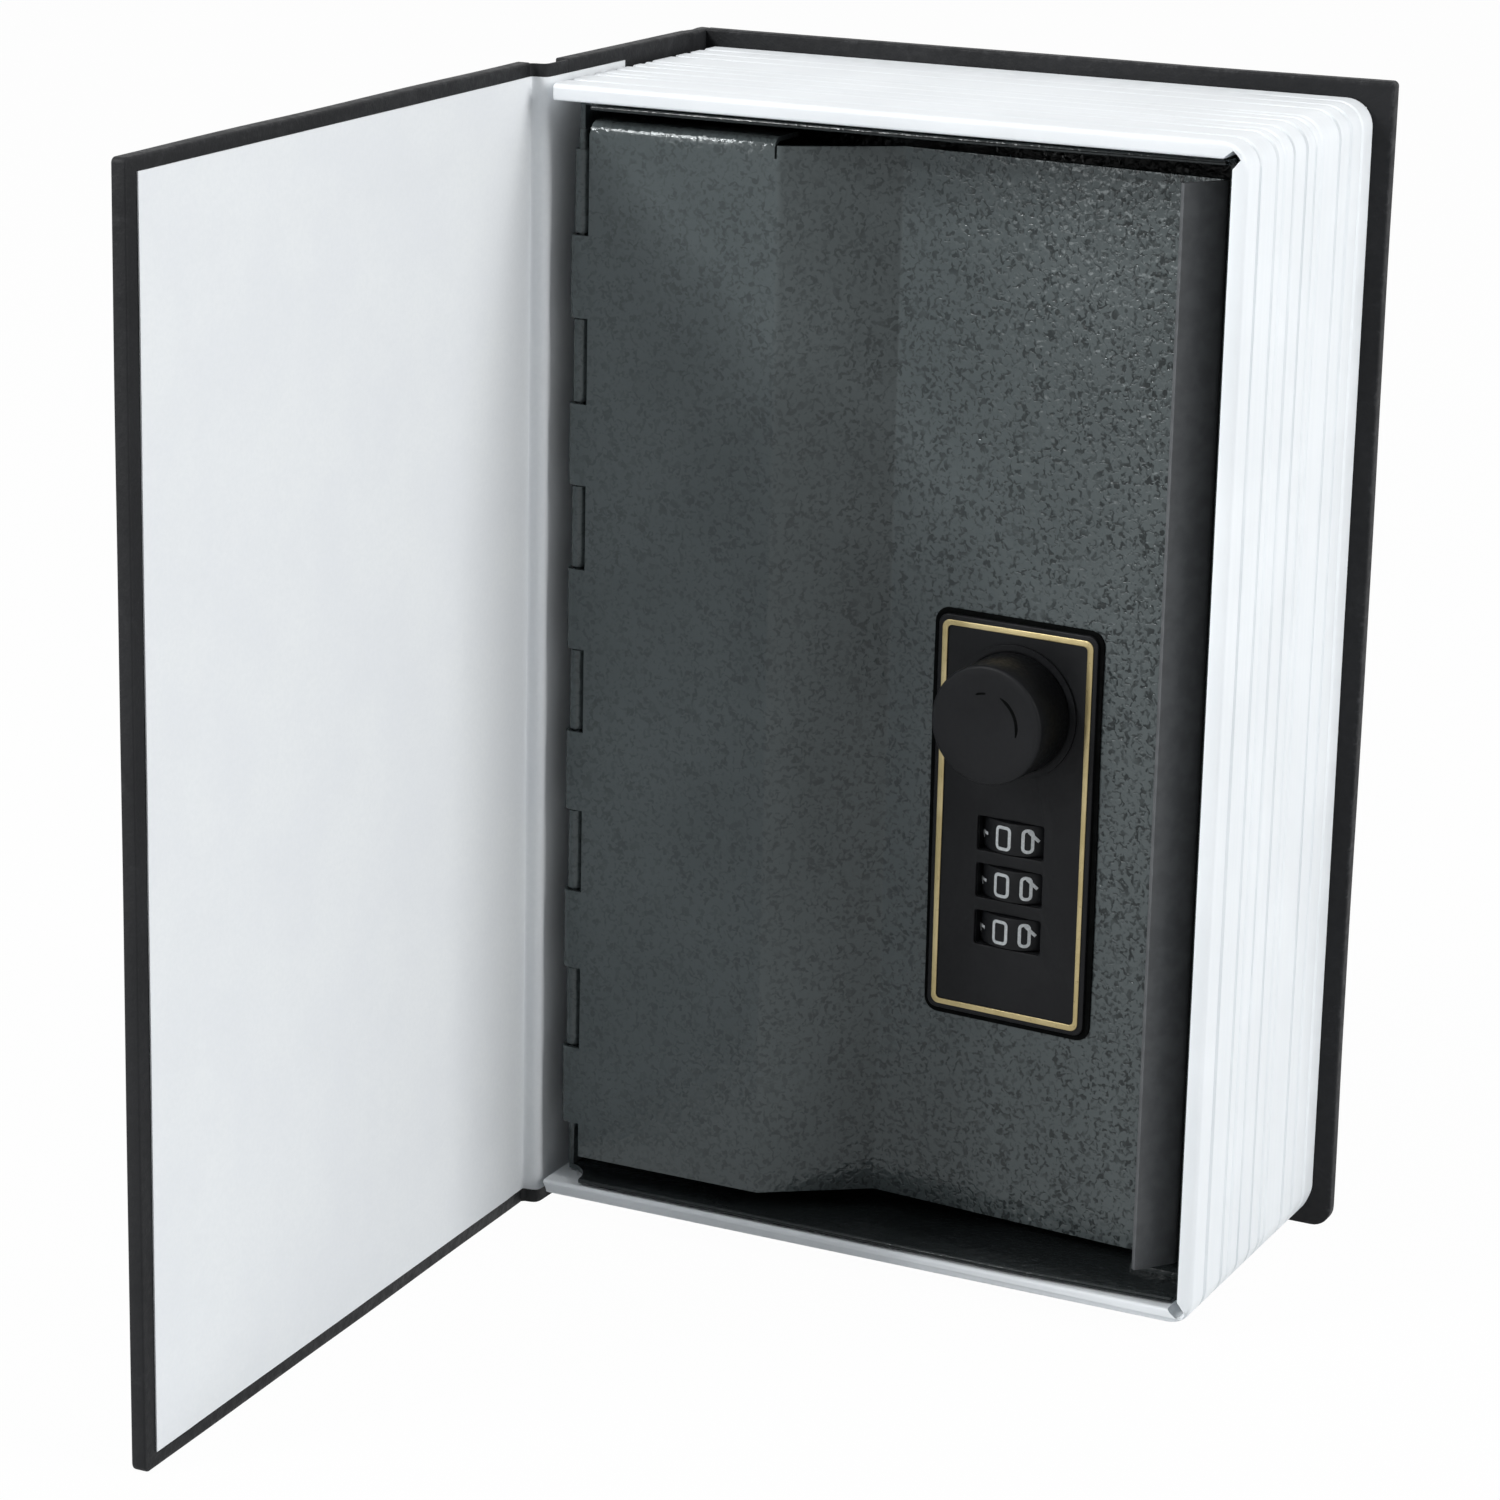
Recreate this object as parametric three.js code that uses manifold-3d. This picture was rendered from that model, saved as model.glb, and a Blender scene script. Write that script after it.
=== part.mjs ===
// A lock box dressed as a book: case binding, ribbed page block, steel box and a door with a number lock.
// Millimetres, +Z up. The book stands upright: Y runs from the open front to the back cover,
// X from the spine to the fore-edge, and Z from the tail to the head.
import * as THREE from "three";
import { mergeVertices } from "three/addons/utils/BufferGeometryUtils.js";
import Module from "manifold-3d";

const wasm = await Module();
wasm.setup();

// Case binding
const caseHeight = 180;
const boardThickness = 1.95;
const clothThickness = 0.3;
const paperThickness = 0.2;
const turnIn = 12;
const headSquare = 2.6;
const foreSquare = 2.9;
const paperMarginEnds = 2.05;
const paperMarginFore = 2.6;
const tailCornerRadius = 3;
const headCornerRadius = 0.8;
const boardSetback = 0.36;
const coverFrontGap = 0.75;
const coverOpenAngle = 88.3;
const coverHingeX = -1.22;
const coverHingeY = 2.58;
const spineGap = 1.95;
const spineFrontInset = 8.5;
const spineBackInset = 4.7;
const spinePaperReach = 26;
const jointBulge = 4.5;
const jointClearance = 0.06;

// Page block
const trayWidth = 108.3;
const trayDepth = 53.75;
const trayWall = 2.5;
const trayForeWall = 2.43;
const trayFloor = 1.8;
const trayCornerRadius = 4.2;
const trayEdgeRounding = 0.6;
const ribGroove = 0.42;
const ribShoulder = 0.75;
// Where the grooves between the ribs lie, as shares of the depth, and how deep each is beside the deepest
const ribGrooves = [
  [0.1, 1],
  [0.228, 0.8],
  [0.282, 0.45],
  [0.36, 0.85],
  [0.456, 0.9],
  [0.532, 0.6],
  [0.577, 0.45],
  [0.722, 0.9],
  [0.815, 0.7],
  [0.908, 0.5],
];
const cornerReliefRadius = 1.35;
const cornerReliefDepth = 5.2;

// Steel box
const steel = 0.8;
const boxGap = 0.3;
const boxSetback = 0.5;
const boxLeft = 1.45;
const boxCornerRadius = 1.2;
const boxThroatRadius = 4.5;
const weldTabWidth = 9.8;
const weldTabSetback = 8.7;

// Door and its hinge
const doorSetback = 2.16;
const doorEndGap = 3;
const doorSideGap = 2.2;
const lockPanelWidth = 51.47;
const slantWidth = 14.9;
const recessDepth = 10.5;
const panelTilt = 4.35;
const lipLean = 3.9;
const lipSetback = 0.4;
const bendRadius = 0.7;
const doorHeadCorner = 1.5;
const doorTailCorner = 0.8;
const knuckleRadius = 1.7;
const pinRadius = 0.65;
const pinClearance = 0.25;
const knuckleGap = 0.3;
const knucklePairs = 6;
const hingeTopInset = 3.05;
const hingeTailInset = 5.27;
const slotReach = 1.8;
const wallCutGap = 0.34;
const pinOverhang = 2.8;

// Lock
const lockFromRight = 29.8;
const lockFromBottom = 62.6;
const lockPlateWidth = 26.2;
const lockPlateHeight = 61.4;
const lockPlateRise = 0.8;
const lockPlateCorner = 1.6;
const seatGap = 0.02;
const cutoutMarginSides = 2.1;
const cutoutMarginEnds = 2.2;
const plugGap = 0.3;
const plugDepth = 1.6;
const lineInset = 0.75;
const lineWidth = 0.95;
const lineRise = 0.15;
const windowWidth = 11;
const windowClearance = 0.3;
const firstWheelBelow = 2.02;
const wheelRadius = 6.6;
const wheelSpacing = 2.34;
const wheelBoreRadius = 2.95;
const wheelProud = 0.4;
const wheelCount = 3;
const sleeveClearance = 0.25;
const sleeveFlangeRadius = 3.45;
const sleeveFlangeThickness = 0.7;
const sleeveEndGap = 0.14;
const axleRadius = 1.1;
const axleClearance = 0.2;
const axleToBoss = 1.86;
const knobFromEnd = 13.2;
const knobHeight = 8.7;
const knobFootGap = 0.25;
const knobEdgeRounding = 0.5;
const knobStemRadius = 3.1;
const stemClearance = 0.3;
const collarFromLine = 1.2;
const knobFromCollar = 1.5;
const collarWidth = 0.9;
const collarRise = 0.5;
const lockCaseWall = 1.2;
const lockCaseOverlap = 1.5;
const lockCaseDepth = 13.8;
const ribThickness = 1.2;
const spindleRadius = 1.9;
const spindleSide = 3.6;
const spindleThreadRadius = 1.5;
const lobeRadius = 3;
const lobeOffset = 1;
const lobeThickness = 2.4;
const lobeGap = 0.35;
const camThickness = 1.5;
const camLength = 28.5;
const camHubRadius = 5.5;
const camTipWidth = 7;
const camHoleGap = 0.1;
const runGap = 0.3;
const nutAcrossFlats = 6;
const nutThickness = 2.2;
const screwHeadRadius = 1.9;
const screwHeadHeight = 1.3;
const screwShankRadius = 0.8;
const screwHoleRadius = 1.1;
const screwFromEnd = 5.3;
const bossRadius = 1.9;
const bossLength = 7.4;
const bossBore = 0.95;
const springThickness = 0.25;
const springWidth = 6;
const springBend = 1.5;
const barThickness = 1.4;
const barDepth = 3;
const barClearance = 0.5;
const toothWidth = 1.2;
const notchClearance = 0.3;
const leverRadius = 2.4;
const leverLength = 6.5;
const leverWidth = 2.4;
const leverThickness = 1.2;
const leverStemRadius = 1.2;
const leverAboveScrew = 5;
const strikeWidth = 7.6;
const strikeHeight = 18;
const strikeFoot = 9;
const strikeGap = 0.45;

// Rivets through steel box, page block and back board
const rivetHeadRadius = 2.6;
const rivetHeadHeight = 1.2;
const rivetShankRadius = 1.2;
const rivetHoleRadius = 1.45;
const rivetReach = 0.9;
const rivetInsetX = 24;
const rivetInsetZ = 40;

// Finishes
const finishes = {
  leatherette: { color: 0x36383a, roughness: 0.62, metalness: 0 },
  greyboard: { color: 0x8d8a84, roughness: 0.9, metalness: 0 },
  endpaper: { color: 0xe8ecee, roughness: 0.85, metalness: 0 },
  page_plastic: { color: 0xe6eaee, roughness: 0.45, metalness: 0 },
  hammertone: { color: 0x3c4242, roughness: 0.5, metalness: 0.25 },
  lock_plastic: { color: 0x222426, roughness: 0.45, metalness: 0 },
  gold: { color: 0xb5a06a, roughness: 0.35, metalness: 0.7 },
  zinc: { color: 0xb9bcbe, roughness: 0.35, metalness: 0.8 },
  brass: { color: 0xc0a060, roughness: 0.35, metalness: 0.8 },
};

// Places worked out from the sizes
const leafThickness = boardThickness + clothThickness;
const trayTail = headSquare;
const trayHead = caseHeight - headSquare;
const coverEdge = trayWidth + foreSquare;
const backOuter = trayDepth + leafThickness;
const spineOuter = -spineGap - leafThickness;
const trayInnerRight = trayWidth - trayForeWall;
const boxTail = trayTail + trayWall + boxGap;
const boxHead = trayHead - trayWall - boxGap;
const boxRight = trayInnerRight - boxGap;
const boxBack = trayDepth - trayFloor;
const pinX = boxLeft + knuckleRadius;
const pinY = doorSetback + knuckleRadius;
const doorTail = boxTail + steel + doorEndGap;
const doorHead = boxHead - steel - doorEndGap;
const doorRight = boxRight - steel - doorSideGap;
const wallCut = pinY + knuckleRadius + wallCutGap;
const slotEdge = pinX + slotReach;
const tilt = THREE.MathUtils.degToRad(panelTilt);
const recessX = doorRight - lockPanelWidth;
const foldX = recessX - slantWidth;
const panelY = (x) => doorSetback + recessDepth - Math.tan(tilt) * (x - recessX);
const lockX = doorRight - lockFromRight;
const lockZ = doorTail + lockFromBottom;
const hingeHead = doorHead - hingeTopInset;
const knuckleLength = (hingeHead - doorTail - hingeTailInset) / (2 * knucklePairs);
const knuckleBore = pinRadius + pinClearance;

// Places inside the lock, in its own frame: y = 0 on the front of the panel, +y into the box
const cutoutWidth = lockPlateWidth - 2 * cutoutMarginSides;
const cutoutHeight = lockPlateHeight - 2 * cutoutMarginEnds;
const collarRadius = lockPlateWidth / 2 - lineInset - lineWidth - collarFromLine;
const knobRadius = collarRadius - knobFromCollar;
const knobAbove = lockPlateHeight / 2 - knobFromEnd;
const screwZ = lockPlateHeight / 2 - screwFromEnd;
const axleEnd = screwZ - bossRadius - axleToBoss;
const wheelRoom = axleEnd - ribThickness - sleeveEndGap / 2 - firstWheelBelow;
const wheelPitch = wheelRoom / (wheelCount - 0.5);
const wheelHeight = wheelPitch - wheelSpacing;
const windowHeight = wheelHeight + windowClearance;
const wheelZ = (i) => -firstWheelBelow - i * wheelPitch;
const wheelAxisY = wheelRadius - wheelProud - lockPlateRise;
const caseFront = steel + seatGap;
const caseBack = caseFront + lockCaseDepth;
const caseInner = caseBack - lockCaseWall;
const camFront = caseBack + runGap;
const camBack = camFront + camThickness;
const sleeveRadius = wheelBoreRadius - sleeveClearance;
const halfPitch = wheelPitch / 2;
const sleeveHalf = halfPitch - sleeveEndGap / 2;
const flangeBottom = wheelHeight / 2 + runGap;
const topRib = wheelZ(0) + halfPitch + sleeveEndGap / 2;
const lowRib = wheelZ(wheelCount - 1) - halfPitch - sleeveEndGap / 2 - ribThickness;
const barInner = wheelRadius + barClearance;
const leverZ = leverAboveScrew - screwZ;

// A closed geometry as a solid that can be joined and cut
function toSolid(geometry) {
  const bare = geometry.clone();
  bare.deleteAttribute("normal");
  bare.deleteAttribute("uv");
  const merged = mergeVertices(bare, 1e-4);
  const vertProperties = new Float32Array(merged.attributes.position.array);
  const triVerts = new Uint32Array(merged.index.array);
  return new wasm.Manifold(new wasm.Mesh({ numProp: 3, vertProperties, triVerts }));
}

function toGeometry(solid) {
  const mesh = solid.getMesh();
  const geometry = new THREE.BufferGeometry();
  geometry.setAttribute("position", new THREE.BufferAttribute(new Float32Array(mesh.vertProperties), 3));
  geometry.setIndex(new THREE.BufferAttribute(new Uint32Array(mesh.triVerts), 1));
  geometry.computeVertexNormals();
  return geometry;
}

function joined(...solids) {
  return solids.reduce((whole, next) => whole.add(next));
}

function box(x0, x1, y0, y1, z0, z1) {
  const geometry = new THREE.BoxGeometry(x1 - x0, y1 - y0, z1 - z0);
  return toSolid(geometry.translate((x0 + x1) / 2, (y0 + y1) / 2, (z0 + z1) / 2));
}

// A shape drawn in X and Y, raised from z0 to z1
function prism(shape, z0, z1, curveSegments = 8) {
  const geometry = new THREE.ExtrudeGeometry(shape, { depth: z1 - z0, bevelEnabled: false, curveSegments });
  return toSolid(geometry.translate(0, 0, z0));
}

// A shape drawn in X and Z, thick from y0 to y1
function slab(shape, y0, y1, curveSegments = 6) {
  const geometry = new THREE.ExtrudeGeometry(shape, { depth: y1 - y0, bevelEnabled: false, curveSegments });
  return toSolid(geometry.rotateX(Math.PI / 2).translate(0, y1, 0));
}

function rodZ(radius, z0, z1, x, y, sides = 24) {
  const geometry = new THREE.CylinderGeometry(radius, radius, z1 - z0, sides);
  return toSolid(geometry.rotateX(Math.PI / 2).translate(x, y, (z0 + z1) / 2));
}

function rodY(radius, y0, y1, x, z, sides = 24) {
  const geometry = new THREE.CylinderGeometry(radius, radius, y1 - y0, sides);
  return toSolid(geometry.translate(x, (y0 + y1) / 2, z));
}

// A profile of [radius, y] pairs turned about the Y axis
function turned(profile, segments = 40) {
  const points = profile.map(([radius, y]) => new THREE.Vector2(radius, y));
  return toSolid(new THREE.LatheGeometry(points, segments));
}

// A rectangle whose corners each have their own radius: [x0 z0], [x1 z0], [x1 z1], [x0 z1]
function roundedRect(x0, x1, z0, z1, radii) {
  const [r0, r1, r2, r3] = typeof radii === "number" ? [radii, radii, radii, radii] : radii;
  const shape = new THREE.Shape();
  shape.moveTo(x0 + r0, z0);
  shape.lineTo(x1 - r1, z0);
  if (r1 > 0) shape.absarc(x1 - r1, z0 + r1, r1, -Math.PI / 2, 0);
  shape.lineTo(x1, z1 - r2);
  if (r2 > 0) shape.absarc(x1 - r2, z1 - r2, r2, 0, Math.PI / 2);
  shape.lineTo(x0 + r3, z1);
  if (r3 > 0) shape.absarc(x0 + r3, z1 - r3, r3, Math.PI / 2, Math.PI);
  shape.lineTo(x0, z0 + r0);
  if (r0 > 0) shape.absarc(x0 + r0, z0 + r0, r0, Math.PI, 1.5 * Math.PI);
  return shape;
}

// The outline of a bent strip: its front face follows the corners, and its thickness lies to the left
function bentStrip(corners, thickness, innerRadius, steps = 5) {
  const front = [];
  const back = [];
  const last = corners.length - 1;
  const direction = (i) => corners[i + 1].clone().sub(corners[i]).normalize();
  const left = (d) => new THREE.Vector2(-d.y, d.x);
  const add = (point, normal, offset) => {
    front.push(point.clone());
    back.push(point.clone().addScaledVector(normal, offset));
  };
  add(corners[0], left(direction(0)), thickness);
  for (let i = 1; i < last; i += 1) {
    const before = direction(i - 1);
    const after = direction(i);
    const turn = Math.atan2(before.cross(after), before.dot(after));
    const side = Math.sign(turn);
    const frontRadius = side > 0 ? innerRadius + thickness : innerRadius;
    const start = corners[i].clone().addScaledVector(before, -frontRadius * Math.tan(Math.abs(turn) / 2));
    const centre = start.clone().addScaledVector(left(before), side * frontRadius);
    for (let k = 0; k <= steps; k += 1) {
      const normal = left(before).rotateAround(new THREE.Vector2(), (turn * k) / steps);
      add(centre.clone().addScaledVector(normal, -side * frontRadius), normal, thickness);
    }
  }
  add(corners[last], left(direction(last - 1)), thickness);
  return new THREE.Shape([...front, ...back.reverse()]);
}

// A thin ribbon along a smooth curve in X and Y
function ribbon(curve, thickness, steps = 8) {
  const front = [];
  const back = [];
  for (let k = 0; k <= steps; k += 1) {
    const point = curve.getPoint(k / steps);
    const tangent = curve.getTangent(k / steps);
    const normal = new THREE.Vector2(-tangent.y, tangent.x);
    front.push(point.clone().addScaledVector(normal, -thickness / 2));
    back.push(point.clone().addScaledVector(normal, thickness / 2));
  }
  return new THREE.Shape([...front, ...back.reverse()]);
}

function mesh(name, solid, finish) {
  const node = new THREE.Mesh(toGeometry(solid), new THREE.MeshStandardMaterial(finishes[finish]));
  node.name = name;
  return node;
}

// One cover: a board with the covering folded over three of its edges
function coverLeaf(inner, outer) {
  const skin = Math.sign(outer - inner) * clothThickness;
  const between = (shape, a, b) => slab(shape, Math.min(a, b), Math.max(a, b));
  const radii = [0, tailCornerRadius, headCornerRadius, 0];
  const outline = roundedRect(boardSetback, coverEdge, 0, caseHeight, radii);
  const boardRadii = radii.map((r) => Math.max(0, r - clothThickness));
  const boardOutline = roundedRect(
    boardSetback,
    coverEdge - clothThickness,
    clothThickness,
    caseHeight - clothThickness,
    boardRadii
  );
  const blank = between(boardOutline, inner, outer - skin);
  const opening = box(
    boardSetback - 1,
    coverEdge - turnIn,
    Math.min(inner, outer) - 1,
    Math.max(inner, outer) + 1,
    turnIn,
    caseHeight - turnIn
  );
  const foldedIn = between(outline, inner, inner + skin).subtract(opening);
  return {
    board: blank.subtract(foldedIn),
    cloth: between(outline, inner, outer).subtract(blank).add(foldedIn),
  };
}

function frontCover() {
  const closed = new THREE.Group();
  const leaf = coverLeaf(-coverFrontGap, -coverFrontGap - leafThickness);
  const paper = box(
    boardSetback,
    coverEdge - paperMarginFore,
    -coverFrontGap,
    -coverFrontGap + paperThickness,
    paperMarginEnds,
    caseHeight - paperMarginEnds
  );
  closed.add(mesh("front_board", leaf.board, "greyboard"));
  closed.add(mesh("front_cloth", leaf.cloth, "leatherette"));
  closed.add(mesh("front_endpaper", paper, "endpaper"));
  closed.position.set(-coverHingeX, -coverHingeY, 0);
  const swung = new THREE.Group();
  swung.add(closed);
  swung.position.set(coverHingeX, coverHingeY, 0);
  swung.rotation.z = -THREE.MathUtils.degToRad(coverOpenAngle);
  return swung;
}

// A point of the closed front cover, where it lies when the cover is open
function opened(x, y) {
  const angle = -THREE.MathUtils.degToRad(coverOpenAngle);
  return new THREE.Vector2(x, y).rotateAround(new THREE.Vector2(coverHingeX, coverHingeY), angle);
}

function frontJoint() {
  const parts = new THREE.Group();
  const onCover = boardSetback - jointClearance;
  const skinY = -coverFrontGap - boardThickness - clothThickness / 2;
  const spineX = spineOuter + clothThickness / 2;
  const spineY = spineFrontInset - jointClearance - clothThickness / 2;
  const clothPath = new THREE.CubicBezierCurve(
    opened(onCover, skinY),
    opened(onCover - spineFrontInset / 2, skinY),
    new THREE.Vector2(spineX - jointBulge, spineY - clothThickness),
    new THREE.Vector2(spineX, spineY)
  );
  const paperY = -coverFrontGap + paperThickness / 2;
  const paperX = -spineGap + paperThickness / 2;
  const paperPath = new THREE.CubicBezierCurve(
    opened(onCover, paperY),
    opened(onCover - coverHingeY / 3, paperY),
    new THREE.Vector2(paperX, coverHingeY / 3),
    new THREE.Vector2(paperX, coverHingeY)
  );
  parts.add(mesh("joint_cloth", prism(ribbon(clothPath, clothThickness), 0, caseHeight), "leatherette"));
  const paper = prism(ribbon(paperPath, paperThickness), paperMarginEnds, caseHeight - paperMarginEnds);
  parts.add(mesh("joint_endpaper", paper, "endpaper"));
  return parts;
}

// The covering of the spine runs round the back joint to meet the covering of the back cover
function spineAndBack() {
  const parts = new THREE.Group();
  const spineBack = backOuter - spineBackInset - leafThickness;
  const skinX = spineOuter + clothThickness;
  const innerX = -spineGap;
  const head = caseHeight - clothThickness;
  const back = coverLeaf(trayDepth, backOuter);
  const across = (x0, x1, z0, z1) => box(x0, x1, spineFrontInset, spineBack, z0, z1);
  const blank = across(skinX, innerX, clothThickness, head);
  const folds = joined(
    across(innerX - clothThickness, innerX, 0, turnIn),
    across(innerX - clothThickness, innerX, caseHeight - turnIn, caseHeight)
  );
  const cloth = joined(
    box(spineOuter, skinX, spineFrontInset, backOuter, 0, caseHeight),
    box(spineOuter, boardSetback, backOuter - clothThickness, backOuter, 0, caseHeight),
    across(spineOuter, innerX, 0, clothThickness),
    across(spineOuter, innerX, head, caseHeight),
    folds
  );
  parts.add(mesh("spine_board", blank.subtract(folds), "greyboard"));
  parts.add(mesh("spine_cloth", cloth, "leatherette"));
  const paper = box(
    innerX,
    innerX + paperThickness,
    coverHingeY + jointClearance,
    spinePaperReach,
    paperMarginEnds,
    caseHeight - paperMarginEnds
  );
  parts.add(mesh("spine_endpaper", paper, "endpaper"));
  const holeEnd = trayDepth + rivetReach + runGap;
  const holes = rivetPlaces().map(([x, z]) => rodY(rivetHoleRadius, trayDepth - 1, holeEnd, x, z));
  const board = holes.reduce((solid, hole) => solid.subtract(hole), back.board);
  parts.add(mesh("back_board", board, "greyboard"));
  parts.add(mesh("back_cloth", back.cloth, "leatherette"));
  return parts;
}

function rivetPlaces() {
  const xs = [boxLeft + rivetInsetX, boxRight - rivetInsetX];
  const zs = [boxTail + rivetInsetZ, boxHead - rivetInsetZ];
  return xs.flatMap((x) => zs.map((z) => [x, z]));
}

// Outline of the page block at one depth: three walls, drawn in by the groove that the ribs leave
function pageOutline(inset) {
  const radius = trayCornerRadius - inset;
  const end = inset;
  const centreX = trayWidth - trayCornerRadius;
  const arc = (centreZ, from) =>
    Array.from({ length: 7 }, (_, k) => {
      const angle = from + (k / 6) * (Math.PI / 2);
      return [centreX + radius * Math.cos(angle), centreZ + radius * Math.sin(angle)];
    });
  return [
    [end, trayTail + inset],
    ...arc(trayTail + trayCornerRadius, -Math.PI / 2),
    ...arc(trayHead - trayCornerRadius, 0),
    [end, trayHead - inset],
    [end, trayHead - trayWall],
    [trayInnerRight, trayHead - trayWall],
    [trayInnerRight, trayTail + trayWall],
    [end, trayTail + trayWall],
  ];
}

// Depths and insets along the page block: a rounded front edge, then a groove beside each rib
function pageStations() {
  const stations = [
    [0, trayEdgeRounding],
    [trayEdgeRounding * 0.3, trayEdgeRounding * 0.3],
    [trayEdgeRounding, 0],
  ];
  for (const [share, depth] of ribGrooves) {
    const groove = share * trayDepth;
    stations.push([groove - ribShoulder, 0.02]);
    stations.push([groove - ribShoulder * 0.3, ribGroove * depth * 0.45]);
    stations.push([groove, ribGroove * depth]);
    stations.push([groove + ribShoulder * 0.8, 0.03]);
  }
  stations.push([trayDepth - trayEdgeRounding, 0]);
  stations.push([trayDepth, trayEdgeRounding / 2]);
  return stations;
}

function pageBlock() {
  const stations = pageStations();
  const rings = stations.map(([, inset]) => pageOutline(inset));
  const count = rings[0].length;
  const positions = rings.flatMap((ring, i) => ring.flatMap(([x, z]) => [x, stations[i][0], z]));
  const index = [];
  for (let i = 0; i < rings.length - 1; i += 1) {
    for (let k = 0; k < count; k += 1) {
      const a = i * count + k;
      const b = i * count + ((k + 1) % count);
      index.push(a, b, a + count, b, b + count, a + count);
    }
  }
  const lastRing = (rings.length - 1) * count;
  const contour = (ring) => ring.map(([x, z]) => new THREE.Vector2(x, z));
  THREE.ShapeUtils.triangulateShape(contour(rings[0]), []).forEach(([a, b, c]) => index.push(a, c, b));
  THREE.ShapeUtils.triangulateShape(contour(rings[rings.length - 1]), []).forEach(([a, b, c]) => {
    index.push(lastRing + a, lastRing + b, lastRing + c);
  });
  const geometry = new THREE.BufferGeometry();
  geometry.setAttribute("position", new THREE.Float32BufferAttribute(positions, 3));
  geometry.setIndex(index.reverse());
  const walls = toSolid(geometry);
  const floor = box(
    trayEdgeRounding,
    trayInnerRight + trayForeWall / 2,
    boxBack,
    trayDepth,
    trayTail + trayWall / 2,
    trayHead - trayWall / 2
  );
  const reliefs = [trayTail + trayWall, trayHead - trayWall].map((z) =>
    rodY(cornerReliefRadius, -1, cornerReliefDepth, trayInnerRight, z)
  );
  const holes = rivetPlaces().map(([x, z]) => rodY(rivetHoleRadius, boxBack - 1, trayDepth + 1, x, z));
  const solid = [...reliefs, ...holes].reduce((whole, cut) => whole.subtract(cut), walls.add(floor));
  return mesh("page_tray", solid, "page_plastic");
}

// A rolled hinge knuckle: a tube round the pin
function knuckle(z0, z1) {
  const shape = new THREE.Shape();
  shape.absarc(pinX, pinY, knuckleRadius, 0, Math.PI * 2);
  const bore = new THREE.Path();
  bore.absarc(pinX, pinY, knuckleBore, 0, Math.PI * 2);
  shape.holes.push(bore);
  return prism(shape, z0, z1, 10);
}

// Heights of one knuckle of the hinge, counted down from the head: even ones belong to the box
function knuckleSpan(i) {
  const top = hingeHead - i * knuckleLength;
  return [top - knuckleLength + knuckleGap / 2, top - knuckleGap / 2];
}

function steelBox() {
  const innerRadius = Math.max(0, boxCornerRadius - steel);
  const outline = (inset, radius) =>
    roundedRect(boxLeft + inset, boxRight - inset, boxTail + inset, boxHead - inset, radius);
  const outer = slab(outline(0, boxCornerRadius), boxSetback, boxBack, 4);
  const inner = slab(outline(steel, innerRadius), boxSetback - 1, boxBack - steel, 4);
  const throatX = boxLeft + boxThroatRadius;
  const throat = new THREE.Shape();
  throat.moveTo(boxLeft - 1, boxSetback - 1);
  throat.lineTo(throatX, boxSetback - 1);
  throat.lineTo(throatX, boxSetback);
  throat.absellipse(throatX, wallCut, boxThroatRadius, wallCut - boxSetback, -Math.PI / 2, -Math.PI, true);
  throat.lineTo(boxLeft - 1, wallCut);
  const wallEdge = boxLeft + steel + innerRadius;
  const wallSlot = box(boxLeft - 1, wallEdge, boxSetback - 1, wallCut, boxTail + steel, boxHead - steel);
  let solid = outer.subtract(inner).subtract(prism(throat, boxTail - 1, boxHead + 1)).subtract(wallSlot);
  for (let i = 0; i < knucklePairs; i += 1) {
    const [z0, z1] = knuckleSpan(2 * i);
    const web = box(boxLeft, boxLeft + steel, pinY, wallCut + steel, z0, z1).subtract(
      rodZ(knuckleRadius - steel / 2, z0 - 1, z1 + 1, pinX, pinY)
    );
    solid = joined(solid, knuckle(z0, z1), web);
  }
  const tabLeft = boxRight - steel - weldTabWidth;
  const tabFront = boxSetback + weldTabSetback;
  const tab = (z0, z1) => box(tabLeft, boxRight - steel / 2, tabFront, boxBack - steel / 2, z0, z1);
  solid = joined(
    solid,
    tab(boxTail + steel / 2, boxTail + 2 * steel),
    tab(boxHead - 2 * steel, boxHead - steel / 2)
  );
  const holes = rivetPlaces().map(([x, z]) => rodY(rivetHoleRadius, boxBack - steel - 1, boxBack + 1, x, z));
  return mesh("steel_box", holes.reduce((whole, hole) => whole.subtract(hole), solid), "hammertone");
}

function hingePin() {
  const bottom = knuckleSpan(2 * knucklePairs - 1)[0] - pinOverhang / 2;
  return mesh("hinge_pin", rodZ(pinRadius, bottom, hingeHead + pinOverhang, pinX, pinY, 16), "hammertone");
}

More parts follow.
